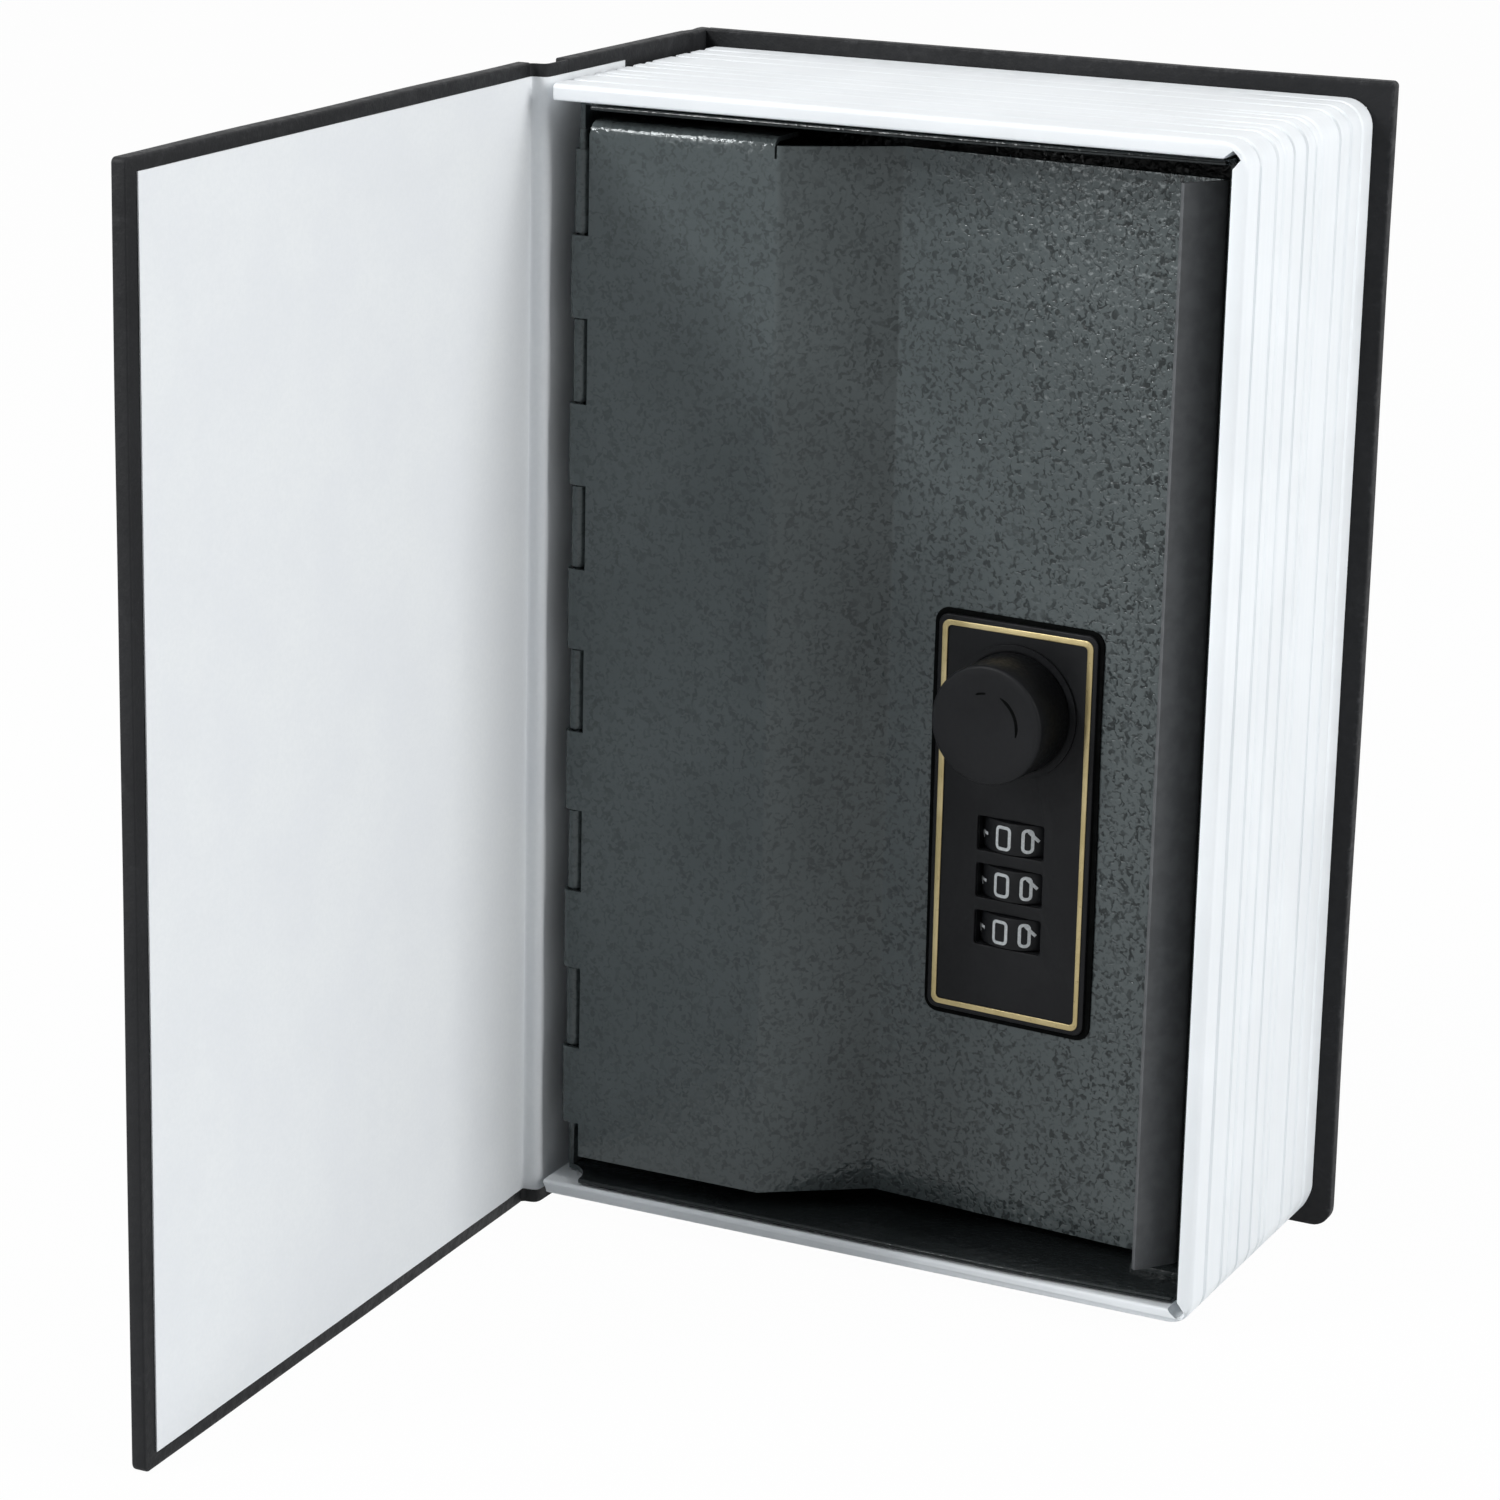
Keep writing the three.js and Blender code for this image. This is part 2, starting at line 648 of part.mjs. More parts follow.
function doorSolid() {
  const corners = [
    new THREE.Vector2(slotEdge, doorSetback),
    new THREE.Vector2(foldX, doorSetback),
    new THREE.Vector2(recessX, panelY(recessX)),
    new THREE.Vector2(doorRight, panelY(doorRight)),
    new THREE.Vector2(doorRight - lipLean, doorSetback + lipSetback),
  ];
  const trimRadii = [doorTailCorner, 0, 0, doorHeadCorner];
  const trim = roundedRect(slotEdge, doorRight + steel * 2, doorTail, doorHead, trimRadii);
  const sheet = prism(bentStrip(corners, steel, bendRadius), doorTail, doorHead);
  let solid = sheet.intersect(slab(trim, 0, doorSetback + recessDepth + steel * 4));
  for (let i = 0; i < knucklePairs; i += 1) {
    const [z0, z1] = knuckleSpan(2 * i + 1);
    const web = box(pinX, slotEdge + steel, doorSetback, doorSetback + steel, z0, z1).subtract(
      rodZ(knuckleRadius - steel / 2, z0 - 1, z1 + 1, pinX, pinY)
    );
    solid = joined(solid, knuckle(z0, z1), web);
  }
  const half = { x: cutoutWidth / 2, z: cutoutHeight / 2 };
  const cutout = box(-half.x, half.x, -steel, 2 * steel, -half.z, half.z);
  const place = new THREE.Matrix4().makeRotationZ(-tilt).setPosition(lockX, panelY(lockX), lockZ);
  return solid.subtract(cutout.transform(place.toArray()));
}

function lockPlate() {
  const half = { x: lockPlateWidth / 2, z: lockPlateHeight / 2 };
  const face = slab(roundedRect(-half.x, half.x, -half.z, half.z, lockPlateCorner), -lockPlateRise, -seatGap);
  const plugX = cutoutWidth / 2 - plugGap;
  const plugZ = cutoutHeight / 2 - plugGap;
  const plug = box(-plugX, plugX, -lockPlateRise / 2, plugDepth, -plugZ, plugZ);
  const bossFront = plugDepth - steel / 2;
  const bosses = [-screwZ, screwZ].map((z) => rodY(bossRadius, bossFront, plugDepth + bossLength, 0, z, 16));
  let solid = joined(face, plug, ...bosses);
  for (let i = 0; i < wheelCount; i += 1) {
    const [z0, z1] = [wheelZ(i) - windowHeight / 2, wheelZ(i) + windowHeight / 2];
    solid = solid.subtract(box(-windowWidth / 2, windowWidth / 2, -2, plugDepth + 1, z0, z1));
  }
  solid = solid.subtract(rodY(knobStemRadius + stemClearance, -2, plugDepth + 1, 0, knobAbove));
  for (const z of [-screwZ, screwZ]) {
    solid = solid.subtract(rodY(bossBore, plugDepth + runGap, plugDepth + bossLength + 1, 0, z, 12));
  }
  return mesh("lock_plate", solid, "lock_plastic");
}

function goldLine() {
  const x = lockPlateWidth / 2 - lineInset;
  const z = lockPlateHeight / 2 - lineInset;
  const outerRadius = lockPlateCorner - lineInset / 2;
  const shape = roundedRect(-x, x, -z, z, outerRadius);
  const inside = roundedRect(-x + lineWidth, x - lineWidth, -z + lineWidth, z - lineWidth, outerRadius / 2);
  const front = -lockPlateRise - lineRise;
  const ring = slab(shape, front, -lockPlateRise - seatGap).subtract(slab(inside, front - 1, 1));
  return mesh("gold_line", ring, "gold");
}

function knobCollar() {
  const front = -lockPlateRise - collarRise;
  const inner = collarRadius - collarWidth;
  const ring = rodY(collarRadius, front, -lockPlateRise - seatGap, 0, knobAbove, 48);
  return mesh("knob_collar", ring.subtract(rodY(inner, front - 1, 1, 0, knobAbove, 48)), "lock_plastic");
}

function knob() {
  const foot = -lockPlateRise - knobFootGap;
  const face = foot - knobHeight;
  const stemEnd = plugDepth + runGap;
  const bore = spindleRadius + camHoleGap;
  const boreEnd = face + knobHeight / 2;
  const profile = [
    [0, boreEnd],
    [bore, boreEnd],
    [bore, stemEnd],
    [knobStemRadius, stemEnd],
    [knobStemRadius, foot],
    [knobRadius, foot],
    [knobRadius, face + knobEdgeRounding],
    [knobRadius - knobEdgeRounding * 0.3, face + knobEdgeRounding * 0.3],
    [knobRadius - knobEdgeRounding, face],
    [0, face],
  ];
  const node = mesh("knob", turned(profile.reverse(), 48), "lock_plastic");
  node.position.z = knobAbove;
  return node;
}

// The spindle's off-centre lobe pushes the follower bar aside as the knob turns
function spindle() {
  const front = -lockPlateRise - knobFootGap - knobHeight / 2 + runGap;
  const half = spindleSide / 2;
  const thread = camBack + runGap + nutThickness + runGap;
  const lobeFront = wheelAxisY - lobeThickness / 2;
  const solid = joined(
    rodY(spindleRadius, front, lobeFront + 1, 0, 0),
    rodY(lobeRadius, lobeFront, lobeFront + lobeThickness, 0, -lobeOffset, 32),
    box(-half, half, lobeFront + 1, camBack, -half, half),
    rodY(spindleThreadRadius, camBack - 1, thread, 0, 0, 16)
  );
  const node = mesh("spindle", solid, "zinc");
  node.position.z = knobAbove;
  return node;
}

// The cam hangs down when the lock is open, and turns to the right behind the strike when it is locked
function latchCam() {
  const arm = new THREE.Shape();
  const tip = camTipWidth / 2;
  const tipZ = -camLength + tip;
  const reach = Math.sqrt(camHubRadius ** 2 - tip ** 2);
  const from = Math.atan2(-reach, tip);
  arm.absarc(0, 0, camHubRadius, from, Math.PI - from, false);
  arm.lineTo(-tip, tipZ);
  arm.absarc(0, tipZ, tip, Math.PI, 2 * Math.PI, false);
  const half = spindleSide / 2 + camHoleGap;
  const hole = new THREE.Path([
    new THREE.Vector2(-half, -half),
    new THREE.Vector2(-half, half),
    new THREE.Vector2(half, half),
    new THREE.Vector2(half, -half),
  ]);
  arm.holes.push(hole);
  const node = mesh("latch_cam", slab(arm, camFront, camBack, 12), "zinc");
  node.position.z = knobAbove;
  return node;
}

function camNut() {
  const radius = nutAcrossFlats / 2 / Math.cos(Math.PI / 6);
  const y0 = camBack + seatGap;
  const hex = rodY(radius, y0, y0 + nutThickness, 0, 0, 6);
  const bore = rodY(spindleThreadRadius + camHoleGap, y0 - 1, y0 + nutThickness + 1, 0, 0, 16);
  const node = mesh("cam_nut", hex.subtract(bore), "zinc");
  node.position.z = knobAbove;
  return node;
}

function numberWheel(i) {
  const rim = rodZ(wheelRadius, -wheelHeight / 2, wheelHeight / 2, 0, wheelAxisY, 60);
  const bore = rodZ(wheelBoreRadius, -wheelHeight, wheelHeight, 0, wheelAxisY, 24);
  const node = mesh(`number_wheel_${i + 1}`, rim.subtract(bore), "lock_plastic");
  node.position.z = wheelZ(i);
  return node;
}

// The sleeve joins a wheel to the shaft and carries the notched disc that the follower bar feels
function clutchSleeve(i) {
  const flangeTop = flangeBottom + sleeveFlangeThickness;
  const notch = toothWidth / 2 + notchClearance;
  let solid = joined(
    rodZ(sleeveRadius, -sleeveHalf, sleeveHalf, 0, wheelAxisY),
    rodZ(sleeveFlangeRadius, flangeBottom, flangeTop, 0, wheelAxisY, 32)
  );
  solid = solid.subtract(rodZ(axleRadius + axleClearance, -wheelPitch, wheelPitch, 0, wheelAxisY, 16));
  const cut = box(
    sleeveRadius + runGap,
    sleeveFlangeRadius + 1,
    wheelAxisY - notch,
    wheelAxisY + notch,
    flangeBottom - 1,
    flangeTop + 1
  );
  const node = mesh(`clutch_sleeve_${i + 1}`, solid.subtract(cut), "brass");
  node.position.z = wheelZ(i);
  return node;
}

function wheelAxle() {
  const bottom = lowRib;
  const top = topRib + ribThickness;
  return mesh("wheel_axle", rodZ(axleRadius, bottom, top, 0, wheelAxisY, 16), "zinc");
}

function lockCase() {
  const halfX = cutoutWidth / 2 + lockCaseOverlap;
  const halfZ = cutoutHeight / 2 + lockCaseOverlap;
  const shell = slab(roundedRect(-halfX, halfX, -halfZ, halfZ, lockCaseWall), caseFront, caseBack, 3);
  const insideX = halfX - lockCaseWall;
  const insideZ = halfZ - lockCaseWall;
  const hollow = box(-insideX, insideX, caseFront - 1, caseInner, -insideZ, insideZ);
  const ribFront = plugDepth + 1;
  const ribX = insideX + runGap;
  const rib = (z) => box(-ribX, ribX, ribFront, caseInner + runGap, z, z + ribThickness);
  const axleHole = rodZ(axleRadius + axleClearance, lowRib - 1, topRib + ribThickness + 1, 0, wheelAxisY, 16);
  const barSlot = box(
    barInner - barClearance,
    insideX + runGap - lockCaseWall / 2,
    wheelAxisY - barDepth / 2 - barClearance,
    wheelAxisY + barDepth / 2 + barClearance,
    topRib - 1,
    topRib + ribThickness + 1
  );
  const cuts = [
    barSlot,
    rodY(spindleSide / Math.SQRT2 + camHoleGap, caseInner - 1, caseBack + 1, 0, knobAbove),
    rodY(screwHoleRadius, caseInner - 1, caseBack + 1, 0, -screwZ, 16),
    rodY(screwHoleRadius, caseInner - 1, caseBack + 1, 0, screwZ, 16),
    rodY(leverStemRadius + stemClearance, caseInner - 1, caseBack + 1, 0, leverZ, 16),
  ];
  const ribs = joined(rib(topRib), rib(lowRib)).subtract(axleHole);
  const solid = cuts.reduce((whole, cut) => whole.subtract(cut), shell.subtract(hollow).add(ribs));
  return mesh("lock_case", solid, "lock_plastic");
}

// A wavy leaf behind the wheels: one crest for each wheel
function detentSpring() {
  const flat = caseInner - seatGap - springThickness;
  const crest = wheelAxisY + wheelRadius + runGap;
  const corners = [new THREE.Vector2(flat, wheelZ(0) + halfPitch)];
  for (let i = 0; i < wheelCount; i += 1) {
    corners.push(new THREE.Vector2(crest, wheelZ(i)));
    corners.push(new THREE.Vector2(flat, wheelZ(i) - halfPitch));
  }
  const strip = bentStrip(corners, springThickness, springBend, 3);
  const geometry = new THREE.ExtrudeGeometry(strip, { depth: springWidth, bevelEnabled: false });
  geometry.translate(0, 0, -springWidth / 2);
  const turn = new THREE.Matrix4().set(0, 0, 1, 0, 1, 0, 0, 0, 0, 1, 0, 0, 0, 0, 0, 1);
  return mesh("detent_spring", toSolid(geometry.applyMatrix4(turn)), "zinc");
}

function followerBar() {
  const y0 = wheelAxisY - barDepth / 2;
  const y1 = wheelAxisY + barDepth / 2;
  const bottom = lowRib + ribThickness + runGap;
  const outer = barInner + barThickness;
  let solid = joined(
    box(barInner, outer, y0, y1, bottom, knobAbove + barThickness),
    box(lobeRadius + lobeGap, outer, y0, y1, knobAbove - barThickness, knobAbove + barThickness)
  );
  const toothEnd = sleeveFlangeRadius + barClearance;
  for (let i = 0; i < wheelCount; i += 1) {
    const z = wheelZ(i) + flangeBottom;
    const y = wheelAxisY - toothWidth / 2;
    solid = solid.add(box(toothEnd, outer, y, y + toothWidth, z, z + sleeveFlangeThickness));
  }
  return mesh("follower_bar", solid, "zinc");
}

function codeLever() {
  const arm = new THREE.Shape();
  const half = leverWidth / 2;
  const side = Math.asin(half / leverRadius);
  arm.absarc(0, 0, leverRadius, -Math.PI + side, Math.PI - side, false);
  arm.lineTo(-leverLength + half, half);
  arm.absarc(-leverLength + half, 0, half, Math.PI / 2, 1.5 * Math.PI, false);
  const blade = slab(arm, camFront, camFront + leverThickness, 8);
  const stem = rodY(leverStemRadius, caseInner + runGap, camFront + leverThickness / 2, 0, 0, 16);
  const node = mesh("code_lever", blade.add(stem), "lock_plastic");
  node.position.z = leverZ;
  return node;
}

function lockScrew(name, z) {
  const solid = joined(
    rodY(screwHeadRadius, caseBack + seatGap, caseBack + seatGap + screwHeadHeight, 0, 0, 20),
    rodY(screwShankRadius, plugDepth + 2 * runGap, caseBack + screwHeadHeight / 2, 0, 0, 12)
  );
  const slotFloor = caseBack + screwHeadHeight * 0.6;
  const slot = box(-screwHeadRadius, screwHeadRadius, slotFloor, slotFloor + screwHeadHeight, -0.25, 0.25);
  const node = mesh(name, solid.subtract(slot), "zinc");
  node.position.z = z;
  return node;
}

function lockGroup() {
  const lock = new THREE.Group();
  lock.position.set(lockX, panelY(lockX), lockZ);
  lock.rotation.z = -tilt;
  lock.add(lockPlate(), goldLine(), knobCollar(), lockCase(), wheelAxle(), detentSpring());
  lock.add(knob(), spindle(), latchCam(), camNut(), followerBar(), codeLever());
  lock.add(lockScrew("lock_screw_head", screwZ), lockScrew("lock_screw_tail", -screwZ));
  for (let i = 0; i < wheelCount; i += 1) {
    lock.add(numberWheel(i), clutchSleeve(i));
  }
  return lock;
}

// A bent plate on the side wall: the locked cam lies behind its flange
function strike() {
  const wall = boxRight - steel;
  const camTip = new THREE.Vector2(camLength, camFront).rotateAround(new THREE.Vector2(), -tilt);
  const flangeBack = panelY(lockX) + camTip.y - strikeGap;
  const [z0, z1] = [lockZ + knobAbove - strikeHeight / 2, lockZ + knobAbove + strikeHeight / 2];
  const flange = box(wall - strikeWidth, wall, flangeBack - steel, flangeBack, z0, z1);
  const foot = box(wall - steel, wall, flangeBack - strikeFoot, flangeBack, z0, z1);
  return mesh("strike", flange.add(foot), "hammertone");
}

function boxRivets() {
  const inner = boxBack - steel;
  const profile = [
    [0, inner - rivetHeadHeight],
    [rivetHeadRadius * 0.6, inner - rivetHeadHeight * 0.8],
    [rivetHeadRadius, inner - rivetHeadHeight * 0.25],
    [rivetHeadRadius, inner - seatGap],
    [rivetShankRadius, inner - seatGap],
    [rivetShankRadius, trayDepth + rivetReach],
    [0, trayDepth + rivetReach],
  ];
  return rivetPlaces().map(([x, z], i) => {
    const node = mesh(`box_rivet_${i + 1}`, turned(profile, 20), "zinc");
    node.position.set(x, 0, z);
    return node;
  });
}

const book = new THREE.Group();
book.add(frontCover(), frontJoint(), spineAndBack(), pageBlock());
book.add(steelBox(), hingePin(), mesh("door", doorSolid(), "hammertone"), lockGroup());
book.add(strike(), ...boxRivets());

// The origin is the middle of the footprint, on the surface that the book stands on
book.updateMatrixWorld(true);
const extent = new THREE.Box3().setFromObject(book);
book.position.set(-(extent.min.x + extent.max.x) / 2, -(extent.min.y + extent.max.y) / 2, -extent.min.z);

const safe = new THREE.Group();
safe.add(book);

export default safe;
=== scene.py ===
# %% [markdown]
# # A lock box dressed as a book
#
# This lesson dresses the solid model of a small lock box in Blender. From outside it is a hardback
# book: black covers, white endpapers and a ribbed white page block. Inside the page block sits a
# steel box in hammered paint, with a bent steel door, a knob and three number wheels.
# Lengths are in millimetres until a point is placed, because that is how such parts are drawn.

# %% The fixed frame
import math

import bmesh
import bpy
import numpy as np
from mathutils import Matrix, Vector, geometry, noise


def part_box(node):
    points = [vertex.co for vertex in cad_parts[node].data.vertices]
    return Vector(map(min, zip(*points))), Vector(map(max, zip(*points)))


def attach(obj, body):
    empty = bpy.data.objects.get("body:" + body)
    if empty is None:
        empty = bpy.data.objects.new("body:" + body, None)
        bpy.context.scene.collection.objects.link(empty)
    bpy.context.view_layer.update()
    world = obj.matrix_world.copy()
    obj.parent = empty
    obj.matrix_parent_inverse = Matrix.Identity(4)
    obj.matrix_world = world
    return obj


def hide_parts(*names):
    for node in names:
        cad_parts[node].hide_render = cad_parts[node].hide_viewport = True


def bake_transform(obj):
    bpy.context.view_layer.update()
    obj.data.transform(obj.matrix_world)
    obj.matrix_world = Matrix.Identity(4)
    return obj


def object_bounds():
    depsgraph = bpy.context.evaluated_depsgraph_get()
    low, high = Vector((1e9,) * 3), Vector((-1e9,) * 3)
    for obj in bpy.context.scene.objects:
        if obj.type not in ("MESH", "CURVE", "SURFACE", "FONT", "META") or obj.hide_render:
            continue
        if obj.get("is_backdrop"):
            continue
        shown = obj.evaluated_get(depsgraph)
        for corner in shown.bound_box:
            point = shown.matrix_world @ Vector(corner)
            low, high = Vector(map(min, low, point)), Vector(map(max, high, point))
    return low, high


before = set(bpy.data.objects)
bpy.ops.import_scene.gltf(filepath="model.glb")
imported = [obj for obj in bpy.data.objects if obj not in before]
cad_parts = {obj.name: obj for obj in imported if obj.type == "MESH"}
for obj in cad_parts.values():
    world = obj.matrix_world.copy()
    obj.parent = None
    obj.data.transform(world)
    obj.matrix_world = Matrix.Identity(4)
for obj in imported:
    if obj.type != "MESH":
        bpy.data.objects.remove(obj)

cad_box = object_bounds()
scene = bpy.context.scene

# %% [markdown]
# ## Where things are
#
# The solids were drawn from the front corner of the page block, on the spine side, at the foot of
# the book. Every new piece is drawn from that corner too, so that it lands on the solid it dresses.
# The lock has a frame of its own, because the steel panel that carries it leans a few degrees.

# %% Two ways to place a point
MM = 0.001
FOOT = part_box("page_tray")[0] - Vector((0, 0, 2.6 * MM))
LOCK = (72.77, 11.012, 71.8)
LEAN = math.radians(4.35)


def at(x, y, z):
    return FOOT + Vector((x, y, z)) * MM


def in_lock(x, y, z):
    """A point in the lock's own frame, which starts in the middle of its plate."""
    c, s = math.cos(LEAN), math.sin(LEAN)
    return at(LOCK[0] + x * c + y * s, LOCK[1] - x * s + y * c, LOCK[2] + z)


print("foot of the book:", [round(v / MM, 2) for v in FOOT])

# %% [markdown]
# ## The camera
#
# The view is from the right and a little above, through a long lens. The camera also leans a
# degree, as one held by hand does. Its matrix is built from three directions, which is easier to
# check than three angles.

# %% The camera
def camera_turn(azimuth, elevation, roll):
    a, e, r = (math.radians(v) for v in (azimuth, elevation, roll))
    ahead = Vector((-math.sin(a) * math.cos(e), math.cos(a) * math.cos(e), -math.sin(e)))
    right = ahead.cross(Vector((0, 0, 1))).normalized()
    up = right.cross(ahead)
    leaning_right = right * math.cos(r) + up * math.sin(r)
    leaning_up = up * math.cos(r) - right * math.sin(r)
    return Matrix((leaning_right, leaning_up, -ahead)).transposed().to_4x4()


STAND = (311.18, -570.93, 263.55)
AZIMUTH, ELEVATION, ROLL = 26.383, 14.889, 1.102
lens = bpy.data.cameras.new("camera")
lens.lens, lens.sensor_width = 106.07, 36
lens.shift_x, lens.shift_y = 0.0248, -0.0630
lens.clip_start, lens.clip_end = 0.01, 20
camera = bpy.data.objects.new("camera", lens)
camera.matrix_world = Matrix.Translation(at(*STAND)) @ camera_turn(AZIMUTH, ELEVATION, ROLL)
scene.collection.objects.link(camera)
scene.camera = camera
scene.view_settings.view_transform = "Standard"
print("camera stands", round((camera.location - at(55, 27, 90)).length, 3), "m from the book")

# %% [markdown]
# ## Light, floor and the white around it
#
# Product photographs are lit by large soft lamps. A low softbox and a high one stand at the left, one
# stands at the right and one hangs above. A small lamp beside the high one makes the sparks in the
# hammered paint. The room adds a weak glow. The floor shows white to the eye and to glossy
# surfaces, but a share of it is real pale paint, so that the book still leaves a soft shadow. Point
# lamps would be simpler, but they leave hard spots on glossy paint.

# %% Lamps
AIM = Vector((0, 0, 0.09))


def softbox(name, place, width, height, watts):
    lamp = bpy.data.lights.new(name, "AREA")
    lamp.shape = "RECTANGLE"
    lamp.size, lamp.size_y, lamp.energy = width, height, watts
    stand = bpy.data.objects.new(name, lamp)
    stand.location = place
    stand.rotation_euler = (AIM - Vector(place)).to_track_quat("-Z", "Y").to_euler()
    scene.collection.objects.link(stand)


softbox("key_softbox", (-0.80, -1.13, 0.40), 0.5, 0.8, 5.2)
softbox("high_softbox", (-0.69, -0.82, 0.99), 0.34, 0.34, 10)
softbox("spark_lamp", (-0.62, -1.08, 0.76), 0.065, 0.065, 3.6)
softbox("right_softbox", (1.33, 0.05, 0.68), 0.5, 0.9, 16)
softbox("top_softbox", (0.1, 0.2, 1.4), 1.0, 1.0, 3.6)
print("lamps:", len(bpy.data.lights))

# %% World and floor
def coloured(tree, kind, colour, strength=None):
    node = tree.nodes.new("ShaderNode" + kind)
    node.inputs["Color"].default_value = (*colour, 1)
    if strength is not None:
        node.inputs["Strength"].default_value = strength
    return node.outputs[0]


def lit_and_seen(tree, lit, seen, share, end):
    """Light meets the lit shader. The camera, gloss and glass meet the seen one, to the given share."""
    path = tree.nodes.new("ShaderNodeLightPath")

    def combined(operation, a, b):
        node = tree.nodes.new("ShaderNodeMath")
        node.operation = operation
        tree.links.new(a, node.inputs[0])
        if isinstance(b, float):
            node.inputs[1].default_value = b
        else:
            tree.links.new(b, node.inputs[1])
        return node.outputs[0]

    rays = path.outputs["Is Camera Ray"]
    for kind in ("Is Glossy Ray", "Is Transmission Ray"):
        rays = combined("MAXIMUM", rays, path.outputs[kind])
    mix = tree.nodes.new("ShaderNodeMixShader")
    for source, socket in zip((combined("MULTIPLY", rays, share), lit, seen), mix.inputs):
        tree.links.new(source, socket)
    tree.links.new(mix.outputs[0], tree.nodes.new("ShaderNodeOutput" + end).inputs["Surface"])


WHITE = (1, 1, 1)
ROOM_GLOW = 0.1
world = bpy.data.worlds.new("room")
scene.world = world
world.use_nodes = True
sky = world.node_tree
sky.nodes.clear()
lit_room = coloured(sky, "Background", (0.96, 0.98, 1.0), ROOM_GLOW)
lit_and_seen(sky, lit_room, coloured(sky, "Background", WHITE, 1), 1.0, "World")

FLOOR_OWN_WHITE, FLOOR_REACH = 0.98, 4.0
floor_finish = bpy.data.materials.new("white_floor")
floor_finish.use_nodes = True
ground = floor_finish.node_tree
ground.nodes.clear()
pale_paint = coloured(ground, "BsdfDiffuse", (0.62, 0.63, 0.64))
lit_and_seen(ground, pale_paint, coloured(ground, "Emission", WHITE), FLOOR_OWN_WHITE, "Material")

floor_mesh = bpy.data.meshes.new("floor")
floor_corners = [(x * FLOOR_REACH, y * FLOOR_REACH, 0) for x, y in ((-1, -1), (1, -1), (1, 1), (-1, 1))]
floor_mesh.from_pydata(floor_corners, [], [(0, 1, 2, 3)])
floor_mesh.materials.append(floor_finish)
floor = bpy.data.objects.new("floor", floor_mesh)
scene.collection.objects.link(floor)
floor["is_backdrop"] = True
print("room glow", ROOM_GLOW, "floor", FLOOR_REACH * 2, "m wide")

# %% [markdown]
# ## Tools for finishes
#
# Each finish is a small tree of nodes. Its patterns are measured in the object's own space, in
# metres, so a grain of half a millimetre stays half a millimetre on every piece and at every pose.
# A picture could be wrapped round each piece instead, but nodes need no unwrapping and stay sharp.

# %% Node helpers
def rgb(code):
    """A colour as it is written on a screen, turned into the linear numbers that shaders use."""
    parts = [int(code[i:i + 2], 16) / 255 for i in (0, 2, 4)]
    linear = [v / 12.92 if v <= 0.04045 else ((v + 0.055) / 1.055) ** 2.4 for v in parts]
    return (*linear, 1)


def fill(node, values):
    for socket, value in values.items():
        node.inputs[socket].default_value = value


class Finish:
    """A material with one shader, and short ways to add patterns to it."""

    def __init__(self, name, roughness, metallic=0.0, specular=0.5):
        self.material = bpy.data.materials.new(name)
        self.material.use_nodes = True
        self.tree = self.material.node_tree
        self.shader = self.tree.nodes["Principled BSDF"]
        fill(self.shader, {"Roughness": roughness, "Metallic": metallic, "Specular IOR Level": specular})
        self.space = self.tree.nodes.new("ShaderNodeTexCoord").outputs["Object"]

    def link(self, source, node, socket):
        if isinstance(source, (int, float, tuple)):
            node.inputs[socket].default_value = source
        else:
            self.tree.links.new(source, node.inputs[socket])

    def stretched(self, x, y, z):
        mapping = self.tree.nodes.new("ShaderNodeMapping")
        mapping.inputs["Scale"].default_value = (x, y, z)
        self.tree.links.new(self.space, mapping.inputs["Vector"])
        return mapping.outputs[0]

    def grain(self, size, detail=2.0, roughness=0.5, distortion=0.0, space=None):
        node = self.tree.nodes.new("ShaderNodeTexNoise")
        values = 1 / (size * MM), detail, roughness, distortion
        fill(node, dict(zip(("Scale", "Detail", "Roughness", "Distortion"), values)))
        self.tree.links.new(space or self.space, node.inputs["Vector"])
        return node.outputs["Fac"]

    def pebbles(self, size):
        node = self.tree.nodes.new("ShaderNodeTexVoronoi")
        node.inputs["Scale"].default_value = 1 / (size * MM)
        self.tree.links.new(self.space, node.inputs["Vector"])
        return node.outputs["Distance"]

    def ramp(self, source, *stops):
        node = self.tree.nodes.new("ShaderNodeMapRange")
        node.interpolation_type = "SMOOTHSTEP"
        fill(node, dict(zip(("From Min", "From Max", "To Min", "To Max"), stops)))
        self.tree.links.new(source, node.inputs["Value"])
        return node.outputs["Result"]

    def cloud(self, size, detail, roughness=0.5, low=0.35, high=0.65):
        return self.ramp(self.grain(size, detail, roughness), low, high, 0.0, 1.0)

    def math(self, operation, a, b):
        node = self.tree.nodes.new("ShaderNodeMath")
        node.operation = operation
        self.link(a, node, 0)
        self.link(b, node, 1)
        return node.outputs[0]

    def mix(self, factor, a, b):
        node = self.tree.nodes.new("ShaderNodeMix")
        node.data_type = "RGBA"
        self.link(factor, node, "Factor")
        for value, socket in ((a, 6), (b, 7)):
            self.link(value, node, socket)
        return node.outputs[2]

    def place(self, axis):
        node = self.tree.nodes.new("ShaderNodeSeparateXYZ")
        self.tree.links.new(self.space, node.inputs[0])
        return node.outputs[axis]

    def colour(self, source):
        self.link(source, self.shader, "Base Color")

    def uneven_gloss(self, size, detail, low, high):
        self.link(self.ramp(self.grain(size, detail), 0.3, 0.7, low, high), self.shader, "Roughness")

    def bump(self, source, height, strength=1.0):
        node = self.tree.nodes.new("ShaderNodeBump")
        fill(node, {"Strength": strength, "Distance": height * MM})
        self.tree.links.new(source, node.inputs["Height"])
        if self.shader.inputs["Normal"].is_linked:
            before = self.shader.inputs["Normal"].links[0].from_socket
            self.tree.links.new(before, node.inputs["Normal"])
        self.tree.links.new(node.outputs[0], self.shader.inputs["Normal"])


